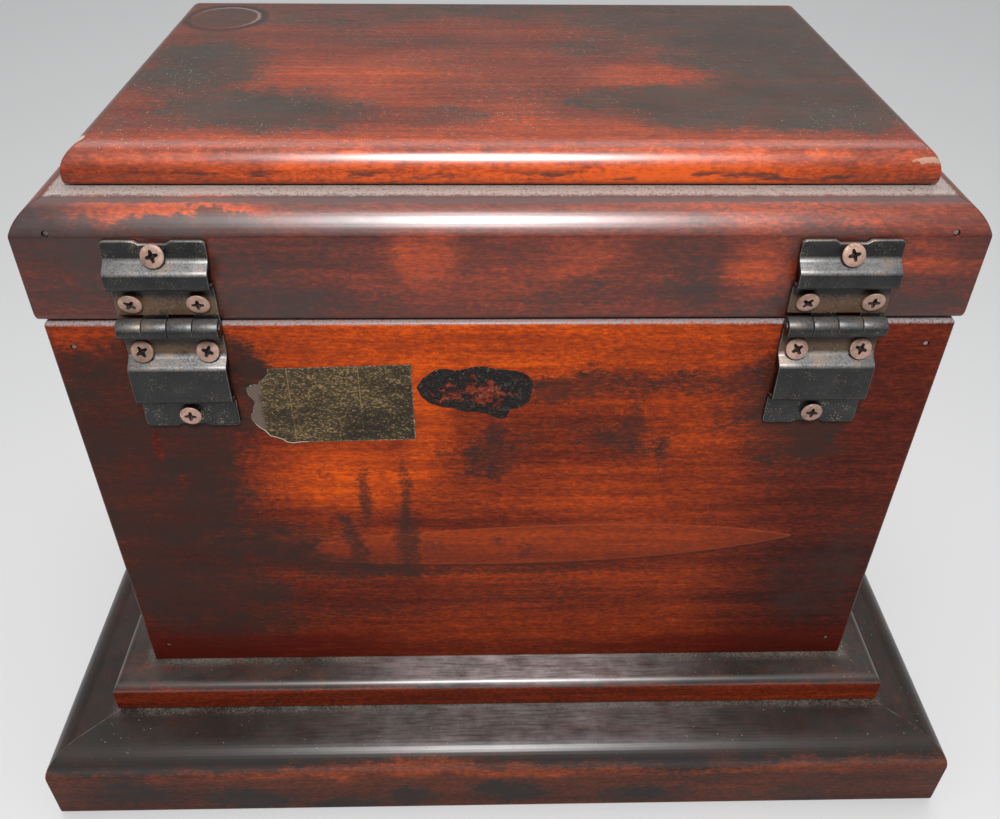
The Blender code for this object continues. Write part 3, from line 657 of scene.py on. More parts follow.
def oldSteel(name, look):
    made, shader, coords = newMaterial(name)
    place = coords["Object"]
    y, z = axesOf(place)[1:]
    height = total(z, -axisPoint.z)
    away = absolute(height)
    rust = total(product(between(away, **wearSheenShadeZones["nearPin"]), look["pinRust"]), look["rust"])
    flecks = total(product(softStep(z, *wearSheenShadeZones["tab"]), look["tabFlecks"]), look["flecks"])
    wear = useGroup(steelGroup, {"Vector": place, "Rust": rust, "Flecks": flecks})
    colour = blended(softStep(wear["Tone"], 0.3, 0.7), look["dark"], look["light"])
    colour = layOver(colour, look["rustColour"], wear["Rust"], 0.85)
    if "rubAndSheen" in look:
        # what faces up is brightened, browner in places, less on the knuckles: partly rubbed wear, partly a
        # painted sheen of the light from above
        facing = softStep(axesOf(coords["Normal"])[2], 0.10, 0.60)
        knuckle = total(product(softStep(away, *wearSheenShadeZones["knuckle"]), -0.45), 1.0)
        spots = softStep(total(wear["Pit"], centred(wear["Tone"], 0.6)), 0.28, 0.62)
        rubbedAndLit = product(facing, knuckle, total(product(spots, 0.5), 0.45), look["rubAndSheen"])
        rubSheenColour = blended(softStep(wear["Tone"], 0.48, 0.68), rubSheenShadeTones["grey"], rubSheenShadeTones["brown"])
        colour = mixColour(rubbedAndLit, colour, rubSheenColour)
    colour = layOver(colour, look["fleckColour"], wear["Fleck"])
    for start, full in look.get("paintedShadow", ()):
        # painted shadow: black on the flats, close under the ribs and knuckles
        band = between(height, (start * mm, full * mm), ((full + 1.2) * mm, (full + 0.8) * mm))
        colour = layOver(colour, rubSheenShadeTones["paintedShadow"], band, softStep(y, *wearSheenShadeZones["flat"]), 0.92)
    metal = product(calc("SUBTRACT", 1.0, wear["Rust"], clamp=True), look["metallic"])
    rough = total(centred(wear["Pit"], 0.4), look["roughness"])
    rough = calc("ADD", rough, product(wear["Rust"], 0.25), clamp=True)
    setInputs(shader, {
        "Base Color": colour, "Metallic": metal, "Roughness": rough, "Coat Weight": look["lacquer"],
        "Coat Roughness": 0.34, "Coat IOR": coatIor, "Normal": bumpOf(wear["Pit"], 0.45, 0.12 * mm),
    })
    return made


plainSteel = {"pinRust": 0.0, "tabFlecks": 0.0, "lacquer": 0.0}
steelLooks = {
    "hinge": ("blackenedSteel", {
        "dark": (0.0070, 0.0070, 0.0075), "light": (0.019, 0.019, 0.019), "rustColour": (0.098, 0.050, 0.022),
        "fleckColour": (0.26, 0.22, 0.14), "rust": 0.02, "pinRust": 0.72, "flecks": 0.40, "tabFlecks": 0.6,
        "rubAndSheen": 0.8, "metallic": 0.5, "roughness": 0.44, "lacquer": 0.10,
        "paintedShadow": [(7.6, 10.8), (-6.6, -3.4), (-25.6, -22.4)],
    }),
    "wornEdge": ("wornSteelEdge", {
        "dark": (0.030, 0.030, 0.030), "light": (0.16, 0.16, 0.15), "rustColour": (0.09, 0.055, 0.026),
        "fleckColour": (0.36, 0.34, 0.31), "rust": 0.12, "pinRust": 0.2, "flecks": 0.5, "tabFlecks": 0.3,
        "rubAndSheen": 0.6, "metallic": 0.7, "roughness": 0.38, "lacquer": 0.2,
    }),
    "screw": ("tarnishedScrew", {
        "dark": (0.190, 0.112, 0.085), "light": (0.53, 0.335, 0.262), "rustColour": (0.22, 0.090, 0.050),
        "fleckColour": (0.60, 0.48, 0.40), "rust": 0.34, "flecks": 0.35, "metallic": 0.25, "roughness": 0.48,
    }),
    # near-black inside the cross recess: painted shade
    "recess": ("screwRecessShade", {
        "dark": (0.006, 0.0035, 0.0030), "light": (0.030, 0.014, 0.010), "rustColour": (0.060, 0.022, 0.012),
        "fleckColour": (0.12, 0.07, 0.05), "rust": 0.10, "flecks": 0.2, "metallic": 0.1, "roughness": 0.70,
    }),
    "nail": ("nailSteel", {
        "dark": (0.10, 0.085, 0.075), "light": (0.34, 0.31, 0.28), "rustColour": (0.12, 0.065, 0.036),
        "fleckColour": (0.55, 0.52, 0.48), "rust": 0.10, "flecks": 0.4, "metallic": 0.6, "roughness": 0.42,
    }),
}
finishes["block"] = bareWood("blockWood")
for key, (name, look) in steelLooks.items():
    finishes[key] = oldSteel(name, {**plainSteel, **look})

foilTones = {
    "dark": (0.014, 0.010, 0.006), "light": (0.048, 0.033, 0.017), "gold": (0.40, 0.262, 0.112),
    "bare": (0.135, 0.100, 0.080), "creases": (38.0 * mm, 56.5 * mm), "bareFrom": (63.4 * mm, 65.4 * mm),
}


def foilSheet(name):
    # brown-black foil with gold crackle, bare paper at the torn end
    made, shader, coords = newMaterial(name)
    place = coords["Object"]
    x = axesOf(place)[0]
    wide = stretched(warped(place, 700, 0.8 * mm), (0.55, 1.0, 1.0))
    broad = noiseOf(stretched(place, (0.3, 1.0, 1.0)), 190, 5.0, 0.65)
    flake = total(noiseOf(wide, 2200, 4.0, 0.78), centred(broad, 0.28))
    creases = []
    for line in foilTones["creases"]:
        creases.append(softStep(absolute(total(x, -line)), 0.18 * mm, 0.04 * mm))
    folded = product(total(*creases), softStep(broad, 0.35, 0.6), 0.6)
    gold = calc("MAXIMUM", softStep(flake, 0.52, 0.66), folded)
    colour = blended(softStep(broad, 0.3, 0.7), foilTones["dark"], foilTones["light"])
    colour = layOver(colour, foilTones["gold"], gold, 0.9)
    bare = softStep(total(x, centred(broad, 3 * mm)), *foilTones["bareFrom"])
    colour = layOver(colour, foilTones["bare"], bare, 0.8)
    setInputs(shader, {
        "Base Color": colour, "Metallic": product(gold, 0.5), "Normal": bumpOf(gold, 0.5, 0.08 * mm),
        "Roughness": 0.42, "Specular IOR Level": 0.2,
    })
    return made


paperTones = {"browned": (0.050, 0.036, 0.020), "cream": (0.52, 0.42, 0.32)}


def tornPaper(name):
    # cream fibres at the torn corner, browned edge elsewhere
    made, shader, coords = newMaterial(name)
    place = coords["Object"]
    axes = axesOf(place)
    fibre = noiseOf(place, 1600, 4.0, 0.7)
    torn = product(softStep(axes[0], 50 * mm, 58 * mm), softStep(axes[2], 142 * mm, 137 * mm))
    pale = total(centred(fibre, 2.2), product(torn, 0.6), 0.12)
    colour = blended(softStep(pale, 0.0, 0.7), paperTones["browned"], paperTones["cream"])
    bump = bumpOf(fibre, 0.4, 0.1 * mm)
    setInputs(shader, {"Base Color": colour, "Normal": bump, "Roughness": 0.8})
    return made


gumTones = {
    "hollow": (0.0060, 0.0045, 0.0042), "ridge": (0.020, 0.012, 0.010), "glint": (0.26, 0.23, 0.21),
    "stainDark": (0.080, 0.0095, 0.004), "stainLight": (0.29, 0.036, 0.006),
}


def oldGum(name):
    # wrinkled black gum with the stained wood showing between the ridges
    made, shader, coords = newMaterial(name)
    place = coords["Object"]
    bent = warped(place, 260, 5 * mm)
    ridge = absolute(centred(noiseOf(bent, 420, 4.0, 0.6), 2.0))
    inner = patch(bent, (8.0, 76.2, 149.8), (12.5, 30, 5.2), 1.0)
    worn = total(noiseOf(bent, 330, 5.0, 0.62), centred(ridge, -0.3), product(inner, 0.24))
    worn = softStep(worn, 0.76, 0.88)
    colour = blended(softStep(ridge, 0.0, 0.4), gumTones["hollow"], gumTones["ridge"])
    glow = noiseOf(place, 600, 4.0, 0.65)
    stain = blended(softStep(glow, 0.3, 0.7), gumTones["stainDark"], gumTones["stainLight"])
    colour = mixColour(worn, colour, stain)
    glint = product(softStep(ridge, 0.06, 0.0), softStep(glow, 0.50, 0.66))
    colour = layOver(colour, gumTones["glint"], glint, 0.5)
    height = total(softStep(ridge, 0.45, 0.0), product(worn, -0.8), glow)
    bump = bumpOf(height, 1.0, 0.6 * mm)
    setInputs(shader, {"Base Color": colour, "Normal": bump, "Roughness": 0.30, "Specular IOR Level": 0.3})
    return made


finishes["foil"] = foilSheet("crackledFoil")
finishes["paper"] = tornPaper("tornPaperEdge")
finishes["gum"] = oldGum("oldGumPatch")
print("finishes ready:", len(finishes))


# modelling helpers

def boxMesh(low, high):
    low, high = Vector(low), Vector(high)
    bm = bmesh.new()
    bmesh.ops.create_cube(bm, size=1.0)
    bmesh.ops.scale(bm, vec=high - low, verts=bm.verts)
    bmesh.ops.translate(bm, vec=(high + low) / 2, verts=bm.verts)
    bm.normal_update()
    return bm


def roundEdges(bm, edges, offset, segments):
    bmesh.ops.bevel(bm, geom=edges, offset=offset, offset_type="OFFSET", segments=segments, profile=0.5,
                    affect="EDGES", material=-1, clamp_overlap=True)


def middleOf(edge):
    return (edge.verts[0].co + edge.verts[1].co) / 2


def extrudeRow(bm, edges, shift):
    made = bmesh.ops.extrude_edge_only(bm, edges=edges)["geom"]
    verts = [item for item in made if isinstance(item, bmesh.types.BMVert)]
    fresh = set(verts)
    row = [e for e in made if isinstance(e, bmesh.types.BMEdge) and fresh.issuperset(e.verts)]
    bmesh.ops.translate(bm, vec=shift, verts=verts)
    return verts, row


def placed(name, data):
    made = bpy.data.objects.new(name, data)
    bpy.context.scene.collection.objects.link(made)
    return made


def meshOf(name, bm):
    mesh = bpy.data.meshes.new(name)
    bm.to_mesh(mesh)
    bm.free()
    return mesh


def addPiece(name, bm, finish, body, nodes=(), smoothAngle=40):
    bmesh.ops.recalc_face_normals(bm, faces=bm.faces)
    mesh = meshOf(name, bm)
    mesh.materials.append(finish)
    mesh.shade_smooth()
    mesh.set_sharp_from_angle(angle=math.radians(smoothAngle))
    piece = placed(name, mesh)
    piece.modifiers.new("flatFaces", "WEIGHTED_NORMAL").keep_sharp = True
    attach(piece, body)
    if nodes:
        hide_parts(*nodes)
    return piece


def cutAway(bm, point, outward):
    everything = bm.verts[:] + bm.edges[:] + bm.faces[:]
    cut = bmesh.ops.bisect_plane(bm, geom=everything, dist=weldGap, plane_co=point, plane_no=outward,
                                 clear_outer=True)
    edges = [item for item in cut["geom_cut"] if isinstance(item, bmesh.types.BMEdge)]
    bmesh.ops.edgeloop_fill(bm, edges=edges)


edgeSteps = {"foot": 4, "corner": 6, "tab": 4, "worn": 2}


def mouldedBlock(low, high, shape):
    # the top edge is rounded first, then the corners and the ridges above them
    faceCut = math.radians(shape.get("faceCut", 0))
    width = shape["round"][0] / math.cos(faceCut)
    drop = shape["round"][1] / (1 - math.sin(faceCut))
    spare = Vector((width - shape["round"][0], width - shape["round"][0], 0))
    bm = boxMesh(Vector(low) - spare, Vector(high) + spare)
    squeeze = width / drop
    bmesh.ops.scale(bm, vec=(1, 1, squeeze), verts=bm.verts)
    top = max(v.co.z for v in bm.verts)
    roundEdges(bm, [e for e in bm.edges if middleOf(e).z > top - closeBy], width, shape["steps"])
    bmesh.ops.scale(bm, vec=(1, 1, 1 / squeeze), verts=bm.verts)
    if faceCut:
        for point, outward in ((low, (-1, 0, 0)), (low, (0, -1, 0)), (high, (1, 0, 0)), (high, (0, 1, 0))):
            cutAway(bm, point, outward)
    roundEdges(bm, [e for e in bm.edges if middleOf(e).z < low[2] + closeBy], shape["foot"],
               edgeSteps["foot"])
    bm.normal_update()
    middle = (Vector(low) + Vector(high)) / 2
    half = (Vector(high) - Vector(low)) / 2
    ridges = []
    for edge in bm.edges:
        insets = [(half.x - abs(v.co.x - middle.x), half.y - abs(v.co.y - middle.y)) for v in edge.verts]
        onCorner = all(abs(x - y) < closeBy for x, y in insets)
        outer = min(x for x, y in insets) < shape["round"][0] - closeBy
        if onCorner and outer and middleOf(edge).z > low[2] + shape["foot"] / 2:
            ridges.append(edge)
    roundEdges(bm, ridges, shape["corner"], edgeSteps["corner"])
    return bm


def mitredRails(prefix, woods, body, shape):
    # each rail is the whole moulded block cut back to its own side of the mitres
    names = {side: prefix + "_" + side + "_rail" for side in woods}
    low = Vector((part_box(names["left"])[0].x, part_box(names["front"])[0].y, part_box(names["left"])[0].z))
    high = Vector((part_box(names["right"])[1].x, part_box(names["back"])[1].y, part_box(names["left"])[1].z))
    ways = {"back": (0, 1), "front": (0, -1), "left": (-1, 0), "right": (1, 0)}
    for side, (wayX, wayY) in ways.items():
        bm = mouldedBlock(low, high, shape)
        ahead, across = Vector((wayX, wayY, 0)), Vector((-wayY, wayX, 0))
        for hand in (1, -1):
            toward = ahead + hand * across
            corner = Vector((high.x if toward.x > 0 else low.x, high.y if toward.y > 0 else low.y, 0))
            outward = (hand * across - ahead).normalized()
            cutAway(bm, corner - outward * shape["seam"], outward)
        face = Vector((high.x if wayX > 0 else low.x, high.y if wayY > 0 else low.y, 0))
        cutAway(bm, face - ahead * shape["width"], -ahead)
        addPiece(names[side] + "_look", bm, finishes[woods[side]], body, [names[side]])


plinthShape = {
    "round": (9.5 * mm, 9.5 * mm), "corner": 1.2 * mm, "foot": 1.0 * mm, "steps": 14, "width": 42 * mm,
    "seam": 0.06 * mm,
}
lidShape = {
    "round": (10 * mm, 7.4 * mm), "faceCut": 22, "corner": 3.0 * mm, "foot": 2.0 * mm, "steps": 14,
    "width": 20 * mm, "seam": 0.01 * mm,
}
baseBoardShape = {"round": (3.2 * mm, 3.2 * mm), "corner": 1.6 * mm, "foot": 1.0 * mm, "steps": 10}
topBoardShape = {"round": (6.5 * mm, 6.8 * mm), "corner": 2.0 * mm, "foot": 1.5 * mm, "steps": 14}
plinthWoods = {"back": "plinthLong", "front": "plinthLong", "left": "plinthSide", "right": "plinthSide"}
lidWoods = {"back": "lidBack", "front": "lidLong", "left": "lidSide", "right": "lidSide"}

mitredRails("plinth", plinthWoods, "chest", plinthShape)
mitredRails("lid", lidWoods, "lid", lidShape)
mouldedBoards = {
    "base_board": (baseBoardShape, "baseBoard", "chest", "base_wood"),
    "lid_top_board": (topBoardShape, "topBoard", "lid", "lid_wood"),
}
for node, (shape, finish, body, slot) in mouldedBoards.items():
    addPiece(node + "_look", mouldedBlock(*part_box(node), shape), finishes[finish], body, [node])
print("rails and moulded boards ready")


nailHole = {"radius": 0.85 * mm, "depth": 3 * mm, "sides": 20}


def drill(piece, places):
    # holes where the nails were driven
    flat = piece.modifiers["flatFaces"]
    for place in places:
        bm = bmesh.new()
        turn = Matrix.Translation(place) @ Matrix.Rotation(math.radians(90), 4, "X")
        bmesh.ops.create_cone(bm, cap_ends=True, segments=nailHole["sides"], radius1=nailHole["radius"],
                              radius2=nailHole["radius"], depth=2 * nailHole["depth"], matrix=turn)
        bit = placed("drillBit", meshOf("drillBit", bm))
        hole = piece.modifiers.new("hole", "BOOLEAN")
        hole.object = bit
        hole.operation = "DIFFERENCE"
        hole.solver = "EXACT"
        piece.modifiers.move(len(piece.modifiers) - 1, 0)
        flat.show_viewport = False
        bpy.context.view_layer.update()
        drilled = bpy.data.meshes.new_from_object(piece.evaluated_get(bpy.context.evaluated_depsgraph_get()))
        flat.show_viewport = True
        piece.modifiers.remove(hole)
        piece.data = drilled
        bpy.data.objects.remove(bit)


def nailPlaces(stem, count, outer):
    places = []
    for number in range(1, count + 1):
        low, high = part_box(stem + "_nail_" + str(number))
        places.append(((low.x + high.x) / 2, outer, (low.z + high.z) / 2))
    return places


bodyShape = {"ease": 1.2 * mm, "steps": 5}
bodyBoards = {
    "back": ("backBoard", ((0, 1, 0), (1, 0, 0), (-1, 0, 0), (0, 0, 1))),
    "front": ("longBoard", ((0, -1, 0), (1, 0, 0), (-1, 0, 0), (0, 0, 1))),
    "left": ("sideBoard", ((-1, 0, 0), (0, 0, 1))),
    "right": ("sideBoard", ((1, 0, 0), (0, 0, 1))),
}
for side, (finish, shown) in bodyBoards.items():
    node = "body_" + side + "_board"
    bm = boxMesh(*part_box(node))
    faces = {f for f in bm.faces if any(f.normal.dot(way) > 0.9 for way in shown)}
    shared = [e for e in bm.edges if faces.issuperset(e.link_faces)]
    roundEdges(bm, shared, bodyShape["ease"], bodyShape["steps"])
    board = addPiece(node + "_look", bm, finishes[finish], "chest", [node])
    if side in ("back", "front"):
        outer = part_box(node)[side == "back"].y
        drill(board, nailPlaces("body_" + side, 4, outer))
for side in ("back", "front"):
    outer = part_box("lid_" + side + "_rail")[side == "back"].y
    rail = bpy.data.objects["lid_" + side + "_rail_look"]
    drill(rail, nailPlaces("lid_" + side, 2, outer))
print("body boards ready")


# hinges
leafShape = {
    "width": 24.8 * mm, "thick": 1.1 * mm, "knuckles": 4, "knuckleGap": 0.16 * mm, "rollDegrees": 290,
    "rollSteps": 28, "setback": 3.1 * mm, "flat": 0.85 * mm, "crest": 4.15 * mm, "face": 1.4 * mm,
    "bend": 1.3 * mm, "rampBend": 2.4 * mm, "bendSteps": 8, "notchHalf": (3.2 * mm, 4.4 * mm),
    "notchDepth": 0.8 * mm, "tabCorner": 1.2 * mm, "pairHalf": 8.2 * mm, "wornEdge": 0.16 * mm, "wornAngle": 55,
    "upper": {
        "ribStart": 11.55 * mm, "ribEnd": 15.75 * mm, "startRamp": 0.0, "endRamp": 2.2 * mm, "reach": 23.1 * mm,
        "pair": (6.9 * mm, -12), "single": (19.6 * mm, 24),
    },
    "lower": {
        "ribStart": 11.35 * mm, "ribEnd": 22.05 * mm, "startRamp": 2.2 * mm, "endRamp": 0.0, "reach": 31.6 * mm,
        "pair": (7.2 * mm, 20), "single": (27.5 * mm, -3),
    },
}


def knuckleSpans(first):
    pitch = leafShape["width"] / leafShape["knuckles"]
    half = leafShape["knuckleGap"] / 2
    spans = []
    for i in range(first, leafShape["knuckles"], 2):
        high = leafShape["width"] / 2 - i * pitch
        low = high - pitch
        spans.append((low + (half if i < leafShape["knuckles"] - 1 else 0), high - (half if i > 0 else 0)))
    return spans


def edgesAt(bm, y, z):
    def near(vert):
        return abs(vert.co.y - y) < closeBy and abs(vert.co.z - z) < closeBy
    return [e for e in bm.edges if all(near(vert) for vert in e.verts)]


def hingeLeaf(side, kind, middleX, up, firstKnuckle, body):
    leaf = leafShape[kind]
    spans = knuckleSpans(firstKnuckle)
    inner, outer = leafShape["notchHalf"]
    stations = {-leafShape["width"] / 2, leafShape["width"] / 2, -outer, -inner, inner, outer}
    stations |= {x for span in spans for x in span}
    stations = sorted({round(x, 6) for x in stations})

    # a row of points drawn out into the folded sheet
    bm = bmesh.new()
    start = (woodFace + leafShape["flat"], axisPoint.z + up * leafShape["setback"])
    row = [bm.verts.new((middleX + x, *start)) for x in stations]
    first = [bm.edges.new(pair) for pair in zip(row, row[1:])]
    rise = leafShape["crest"] - leafShape["flat"]
    path = [
        (0, leaf["ribStart"] - leaf["startRamp"] - leafShape["setback"]), (rise, leaf["startRamp"]),
        (0, leaf["ribEnd"] - leaf["ribStart"]), (-rise, leaf["endRamp"]),
        (0, leaf["reach"] - leaf["ribEnd"] - leaf["endRamp"]),
    ]
    edges, folds = first, []
    for out, away in path:
        verts, edges = extrudeRow(bm, edges, (0, out, up * away))
        folds.append((verts[0].co.y, verts[0].co.z))
    ends = sorted(verts, key=lambda v: v.co.x)
    for vert in ends:
        if abs(vert.co.x - middleX) < (inner + outer) / 2:
            vert.co.z -= up * leafShape["notchDepth"]
    bmesh.ops.bevel(bm, geom=[ends[0], ends[-1]], offset=leafShape["tabCorner"], segments=edgeSteps["tab"],
                    profile=0.5, affect="VERTICES", material=-1)
    for span in spans:
        mine = [e for e in first if span[0] - closeBy < middleOf(e).x - middleX < span[1] + closeBy]
        verts, edges = extrudeRow(bm, mine, (0, 0, -up * leafShape["setback"]))
        bmesh.ops.spin(bm, geom=verts + edges, cent=axisPoint, axis=(1, 0, 0),
                       angle=up * math.radians(leafShape["rollDegrees"]), steps=leafShape["rollSteps"])
    bmesh.ops.remove_doubles(bm, verts=bm.verts, dist=weldGap)

    # bend radii: a wide sweep at the ramp's foot, tight elsewhere
    for i, (y, z) in enumerate(folds[:4]):
        ramp = leaf["startRamp"] if i < 2 else leaf["endRamp"]
        turn = math.atan2(rise, ramp)
        radius = leafShape["rampBend"] if ramp and i in (0, 3) else leafShape["bend"]
        roundEdges(bm, edgesAt(bm, y, z), radius * math.tan(turn / 2), leafShape["bendSteps"])
    node = "hinge_" + side + "_" + kind + "_leaf"
    piece = addPiece(node + "_look", bm, finishes["hinge"], body, [node], smoothAngle=50)
    piece.data.materials.append(finishes["wornEdge"])
    piece.modifiers.remove(piece.modifiers["flatFaces"])
    sheet = piece.modifiers.new("sheet", "SOLIDIFY")
    sheet.thickness = leafShape["thick"]
    sheet.offset = 0.0
    sheet.use_even_offset = True
    edge = piece.modifiers.new("wornEdge", "BEVEL")
    edge.width = leafShape["wornEdge"]
    edge.segments = edgeSteps["worn"]
    edge.limit_method = "ANGLE"
    edge.angle_limit = math.radians(leafShape["wornAngle"])
    edge.material = 1


screwShape = {
    "head": 2.85 * mm, "shank": 1.3 * mm, "length": 10 * mm, "tip": 2.5 * mm, "seat": 0.2 * mm,
    "cone": 0.75 * mm, "rim": 0.25 * mm, "crown": 0.15 * mm, "ring": 1.95 * mm, "point": 0.05 * mm, "sides": 40,
    "turnStep": 37,
    "shoulder": [(0.30 * mm, 0.08 * mm), (0.08 * mm, 0.18 * mm), (0.0, 0.30 * mm)],
    "arm": 1.55 * mm, "slot": 0.31 * mm, "heart": 0.54 * mm, "deep": 1.2 * mm, "taper": 0.35,
}


def hingeScrew(node, seat, turn, body):
    # built upright on its seat, then leaned with it
    shape = screwShape
    rim = shape["seat"] + shape["cone"]
    face = rim + shape["rim"] + shape["crown"]
    tip = shape["seat"] - shape["length"]
    profile = [
        (shape["ring"], face), *((shape["head"] - inward, face - down) for inward, down in shape["shoulder"]),
        (shape["head"], rim), (shape["shank"], shape["seat"]), (shape["shank"], tip + shape["tip"]),
        (shape["point"], tip),
    ]
    bm = bmesh.new()
    verts = [bm.verts.new((radius, y, 0)) for radius, y in profile]
    edges = [bm.edges.new(pair) for pair in zip(verts, verts[1:])]
    bmesh.ops.spin(bm, geom=verts + edges, cent=(0, 0, 0), axis=(0, 1, 0), angle=math.tau,
                   steps=shape["sides"], use_merge=True)
    bmesh.ops.remove_doubles(bm, verts=bm.verts, dist=weldGap)
    ring = [e for e in bm.edges if e.is_boundary and middleOf(e).y > rim]
    bmesh.ops.edgeloop_fill(bm, edges=[e for e in bm.edges if e.is_boundary and middleOf(e).y < rim])
    # cross recess: outline in the head's face, drawn down and narrowed
    corners = []
    for quarter in range(4):
        spin = Matrix.Rotation(math.radians(turn + 90 * quarter), 2)
        for across, along in ((shape["arm"], -shape["slot"]), (shape["arm"], shape["slot"]),
                              (shape["heart"], shape["heart"])):
            point = spin @ Vector((across, along))
            corners.append(bm.verts.new((point.x, face, point.y)))
    cross = [bm.edges.new((corners[i], corners[(i + 1) % len(corners)])) for i in range(len(corners))]
    bmesh.ops.triangle_fill(bm, edges=ring + cross, use_beauty=True)
    inside = []
    slope = (shape["heart"] - shape["slot"]) / (shape["arm"] - shape["heart"])
    for item in bm.faces:
        centre = item.calc_center_median()
        away = spin.transposed() @ Vector((centre.x, centre.z))
        short, long = sorted((abs(away.x), abs(away.y)))
        if all(v in corners for v in item.verts) and short < shape["slot"] + slope * (shape["arm"] - long):
            inside.append(item)
    bmesh.ops.delete(bm, geom=inside, context="FACES_ONLY")
    sunk, floor = extrudeRow(bm, cross, (0, -shape["deep"], 0))
    bmesh.ops.scale(bm, vec=(shape["taper"], 1, shape["taper"]), verts=sunk)
    bmesh.ops.edgeloop_fill(bm, edges=floor)
    for item in bm.faces:
        item.material_index = 1 if any(v in sunk for v in item.verts) else 0
    bmesh.ops.transform(bm, matrix=seat, verts=bm.verts)
    piece = addPiece(node + "_look", bm, finishes["screw"], body, [node], smoothAngle=35)
    piece.data.materials.append(finishes["recess"])


def screwSeats(kind, middleX, up):
    leaf = leafShape[kind]
    seats = []
    for across, place in ((-1, "pair"), (1, "pair"), (0, "single")):
        away, lean = leaf[place][0], math.radians(leaf[place][1])
        dip = screwShape["head"] * math.sin(abs(lean)) - screwShape["cone"] * math.cos(lean)
        out = woodFace + leafShape["face"] + max(dip, 0)
        foot = Matrix.Translation((middleX + across * leafShape["pairHalf"], out, axisPoint.z + up * away))
        seats.append(foot @ Matrix.Rotation(lean, 4, "X"))
    return seats


for side in ("left", "right"):
    low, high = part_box("hinge_" + side + "_pin")
    middleX = (low.x + high.x) / 2
    hingeLeaf(side, "upper", middleX, 1, 1, "lid")
    hingeLeaf(side, "lower", middleX, -1, 0, "chest")
    for kind, up, holder, body in (("upper", 1, "lid", "lid"), ("lower", -1, "body", "chest")):
        for number, seat in enumerate(screwSeats(kind, middleX, up), start=1):
            turn = screwShape["turnStep"] * (number - 1 if kind == "upper" else number + 2)
            hingeScrew("hinge_" + side + "_" + holder + "_screw_" + str(number), seat, turn, body)
print("hinges ready")

for name, node in frame["nodes"].items():
    finish = "block" if name.startswith("corner") else "nail" if "_nail_" in name else "hinge"
    if not node.hide_render:
        for slot in node.material_slots:
            slot.material = finishes[finish]


# sticker and gum on the back board, outlines as (x, z) in mm
labelShape = {
    "lift": 0.02 * mm, "thick": 0.09 * mm, "rim": 0.24 * mm,
    "outline": [
        (61.4, 158.0), (61.3, 156.5), (63.2, 154.4), (64.5, 153.3), (66.3, 152.9), (67.7, 151.8), (67.6, 150.4),
        (67.2, 149.3), (66.3, 148.1), (66.1, 146.8), (66.7, 145.5), (66.9, 144.2), (67.7, 143.0), (67.8, 141.8),
        (67.0, 140.1), (66.1, 138.8), (64.6, 137.5), (63.5, 135.7), (61.9, 135.2), (60.3, 134.5), (59.2, 133.5),
        (57.7, 133.1), (55.4, 133.5), (23.9, 134.2), (24.1, 159.2),
    ],
}
gumShape = {
    "lift": 0.02 * mm, "thick": 0.06 * mm, "rim": 0.5 * mm, "swell": 0.20 * mm, "ragged": 0.75, "cuts": 3,
    "seed": 4,
    "outline": [
        (22.8, 151.7), (20.9, 154.8), (17.7, 157.3), (15.1, 157.8), (12.7, 157.2), (10.3, 157.5), (7.4, 158.4),
        (5.0, 158.5), (2.4, 157.7), (0.2, 157.5), (-3.1, 157.0), (-5.2, 156.4), (-6.8, 155.2), (-7.9, 152.7),
        (-7.8, 150.5), (-7.0, 147.1), (-4.7, 145.1), (-2.1, 144.4), (-1.0, 141.7), (0.5, 141.2), (1.4, 141.4),
        (3.9, 142.8), (6.8, 143.5), (10.5, 143.8), (13.2, 144.9), (15.9, 145.2), (19.6, 146.6), (21.8, 149.0),
    ],
}


def stuckSheet(name, shape, finish, rimFinish):
    level = woodFace + shape["lift"]
    bm = bmesh.new()
    face = bm.faces.new([bm.verts.new((x * mm, level, z * mm)) for x, z in shape["outline"]])
    if "ragged" in shape:
        bmesh.ops.subdivide_edges(bm, edges=bm.edges, cuts=shape["cuts"], fractal=shape["ragged"],
                                  seed=shape["seed"], use_only_quads=False)
        bmesh.ops.scale(bm, vec=(1, 0, 1), verts=bm.verts, space=Matrix.Translation((0, -level, 0)))
        face = bm.faces[:][0]
    risen = bmesh.ops.extrude_face_region(bm, geom=[face])["geom"]
    raised = [item for item in risen if isinstance(item, bmesh.types.BMVert)]
    bmesh.ops.translate(bm, vec=(0, shape["thick"], 0), verts=raised)
    bmesh.ops.recalc_face_normals(bm, faces=bm.faces)
    upper = [item for item in risen if isinstance(item, bmesh.types.BMFace)]
    bmesh.ops.inset_region(bm, faces=upper, thickness=shape["rim"], depth=shape.get("swell", 0.0),
                           use_even_offset=True)
    for item in bm.faces:
        item.material_index = 0 if item in upper else 1
    piece = addPiece(name, bm, finishes[finish], "chest")
    piece.data.materials.append(finishes[rimFinish])


stuckSheet("foil_sticker", labelShape, "foil", "paper")
stuckSheet("gum_patch", gumShape, "gum", "gum")
print("sticker and gum ready")


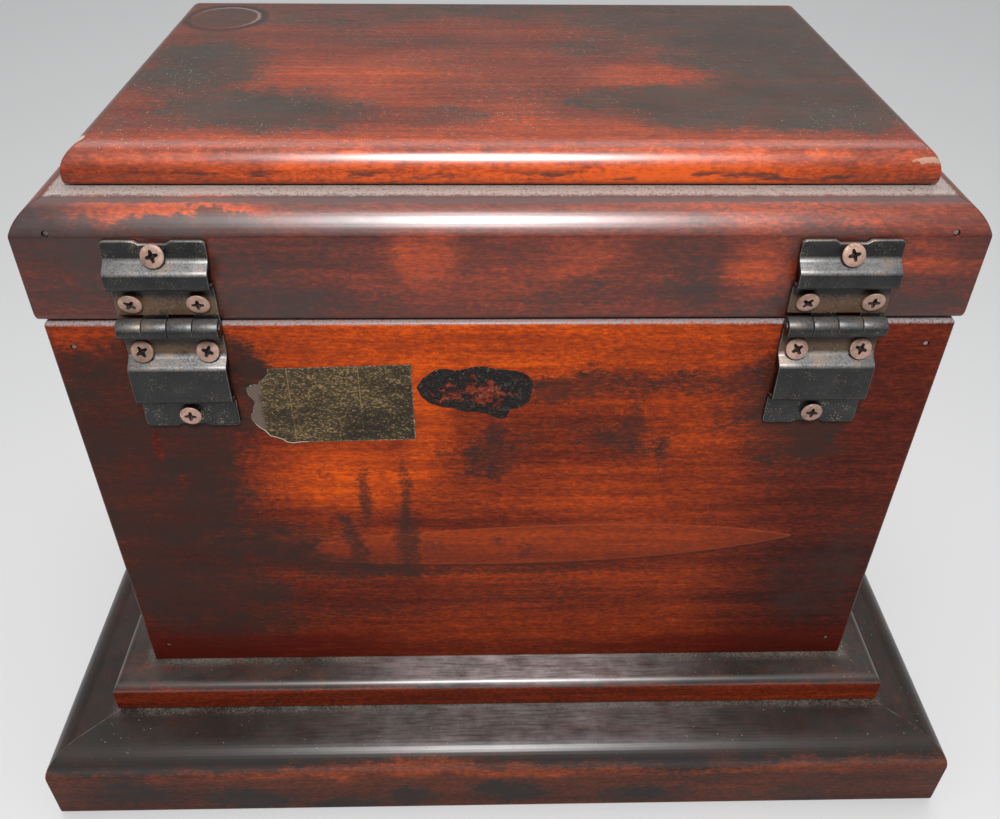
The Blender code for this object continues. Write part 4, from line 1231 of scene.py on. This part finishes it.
# floor, light and camera
stageShape = {
    "floorHalf": 4.0, "floorDrop": 0.2 * mm, "floorColour": (0.70, 0.70, 0.70, 1), "floorRough": 0.7,
    "skyColour": (0.95, 0.975, 1.0, 1), "skyStrength": 0.25,
}
floorMesh = bmesh.new()
bmesh.ops.create_grid(floorMesh, x_segments=1, y_segments=1, size=stageShape["floorHalf"])
bmesh.ops.translate(floorMesh, vec=(0, 0, -stageShape["floorDrop"]), verts=floorMesh.verts)
floor = placed("floor", meshOf("floor", floorMesh))
pale, paleShader = newMaterial("paleFloor")[:2]
setInputs(paleShader, {"Base Color": stageShape["floorColour"], "Roughness": stageShape["floorRough"]})
floor.data.materials.append(pale)

world = bpy.data.worlds.new("softRoom")
bpy.context.scene.world = world
world.use_nodes = True
sky = world.node_tree.nodes["Background"]
setInputs(sky, {"Color": stageShape["skyColour"], "Strength": stageShape["skyStrength"]})

lamps = {
    "keyLight": {"place": (0.0, 0.52, 0.75), "target": (0, 0.05, 0.12), "size": (0.15, 0.20), "power": 6.4},
    "fillLight": {"place": (0.0, -0.9, 1.7), "target": (0, -0.7, 0), "size": (2.4, 1.8), "power": 18.0},
}


def softLight(name, place, target, size, power):
    data = bpy.data.lights.new(name, "AREA")
    data.shape = "RECTANGLE"
    data.size, data.size_y = size
    data.energy = power
    lamp = placed(name, data)
    lamp.location = place
    lamp.rotation_mode = "QUATERNION"
    lamp.rotation_quaternion = (Vector(target) - Vector(place)).to_track_quat("-Z", "Y")
    lamp.visible_camera = False


for name, lamp in lamps.items():
    softLight(name, **lamp)

cameraShape = {
    "place": (0.00673, 0.27713, 0.29913), "lens": 33.98, "sensor": 36.0, "clipStart": 0.01,
    "right": (-0.99972065, 0.0216234, 0.00954242), "down": (0.00563222, 0.61005551, -0.79233866),
    "ahead": (-0.02295446, -0.79206357, -0.61000687),
}
cameraData = bpy.data.cameras.new("photoCamera")
cameraData.sensor_width = cameraShape["sensor"]
cameraData.lens = cameraShape["lens"]
cameraData.clip_start = cameraShape["clipStart"]
camera = placed("photoCamera", cameraData)
axes = Matrix((cameraShape["right"], -Vector(cameraShape["down"]), -Vector(cameraShape["ahead"]))).transposed()
camera.matrix_world = Matrix.Translation(cameraShape["place"]) @ axes.to_4x4()
bpy.context.scene.camera = camera
bpy.context.scene.view_settings.view_transform = "Standard"
print("stage ready")

bpy.context.view_layer.update()
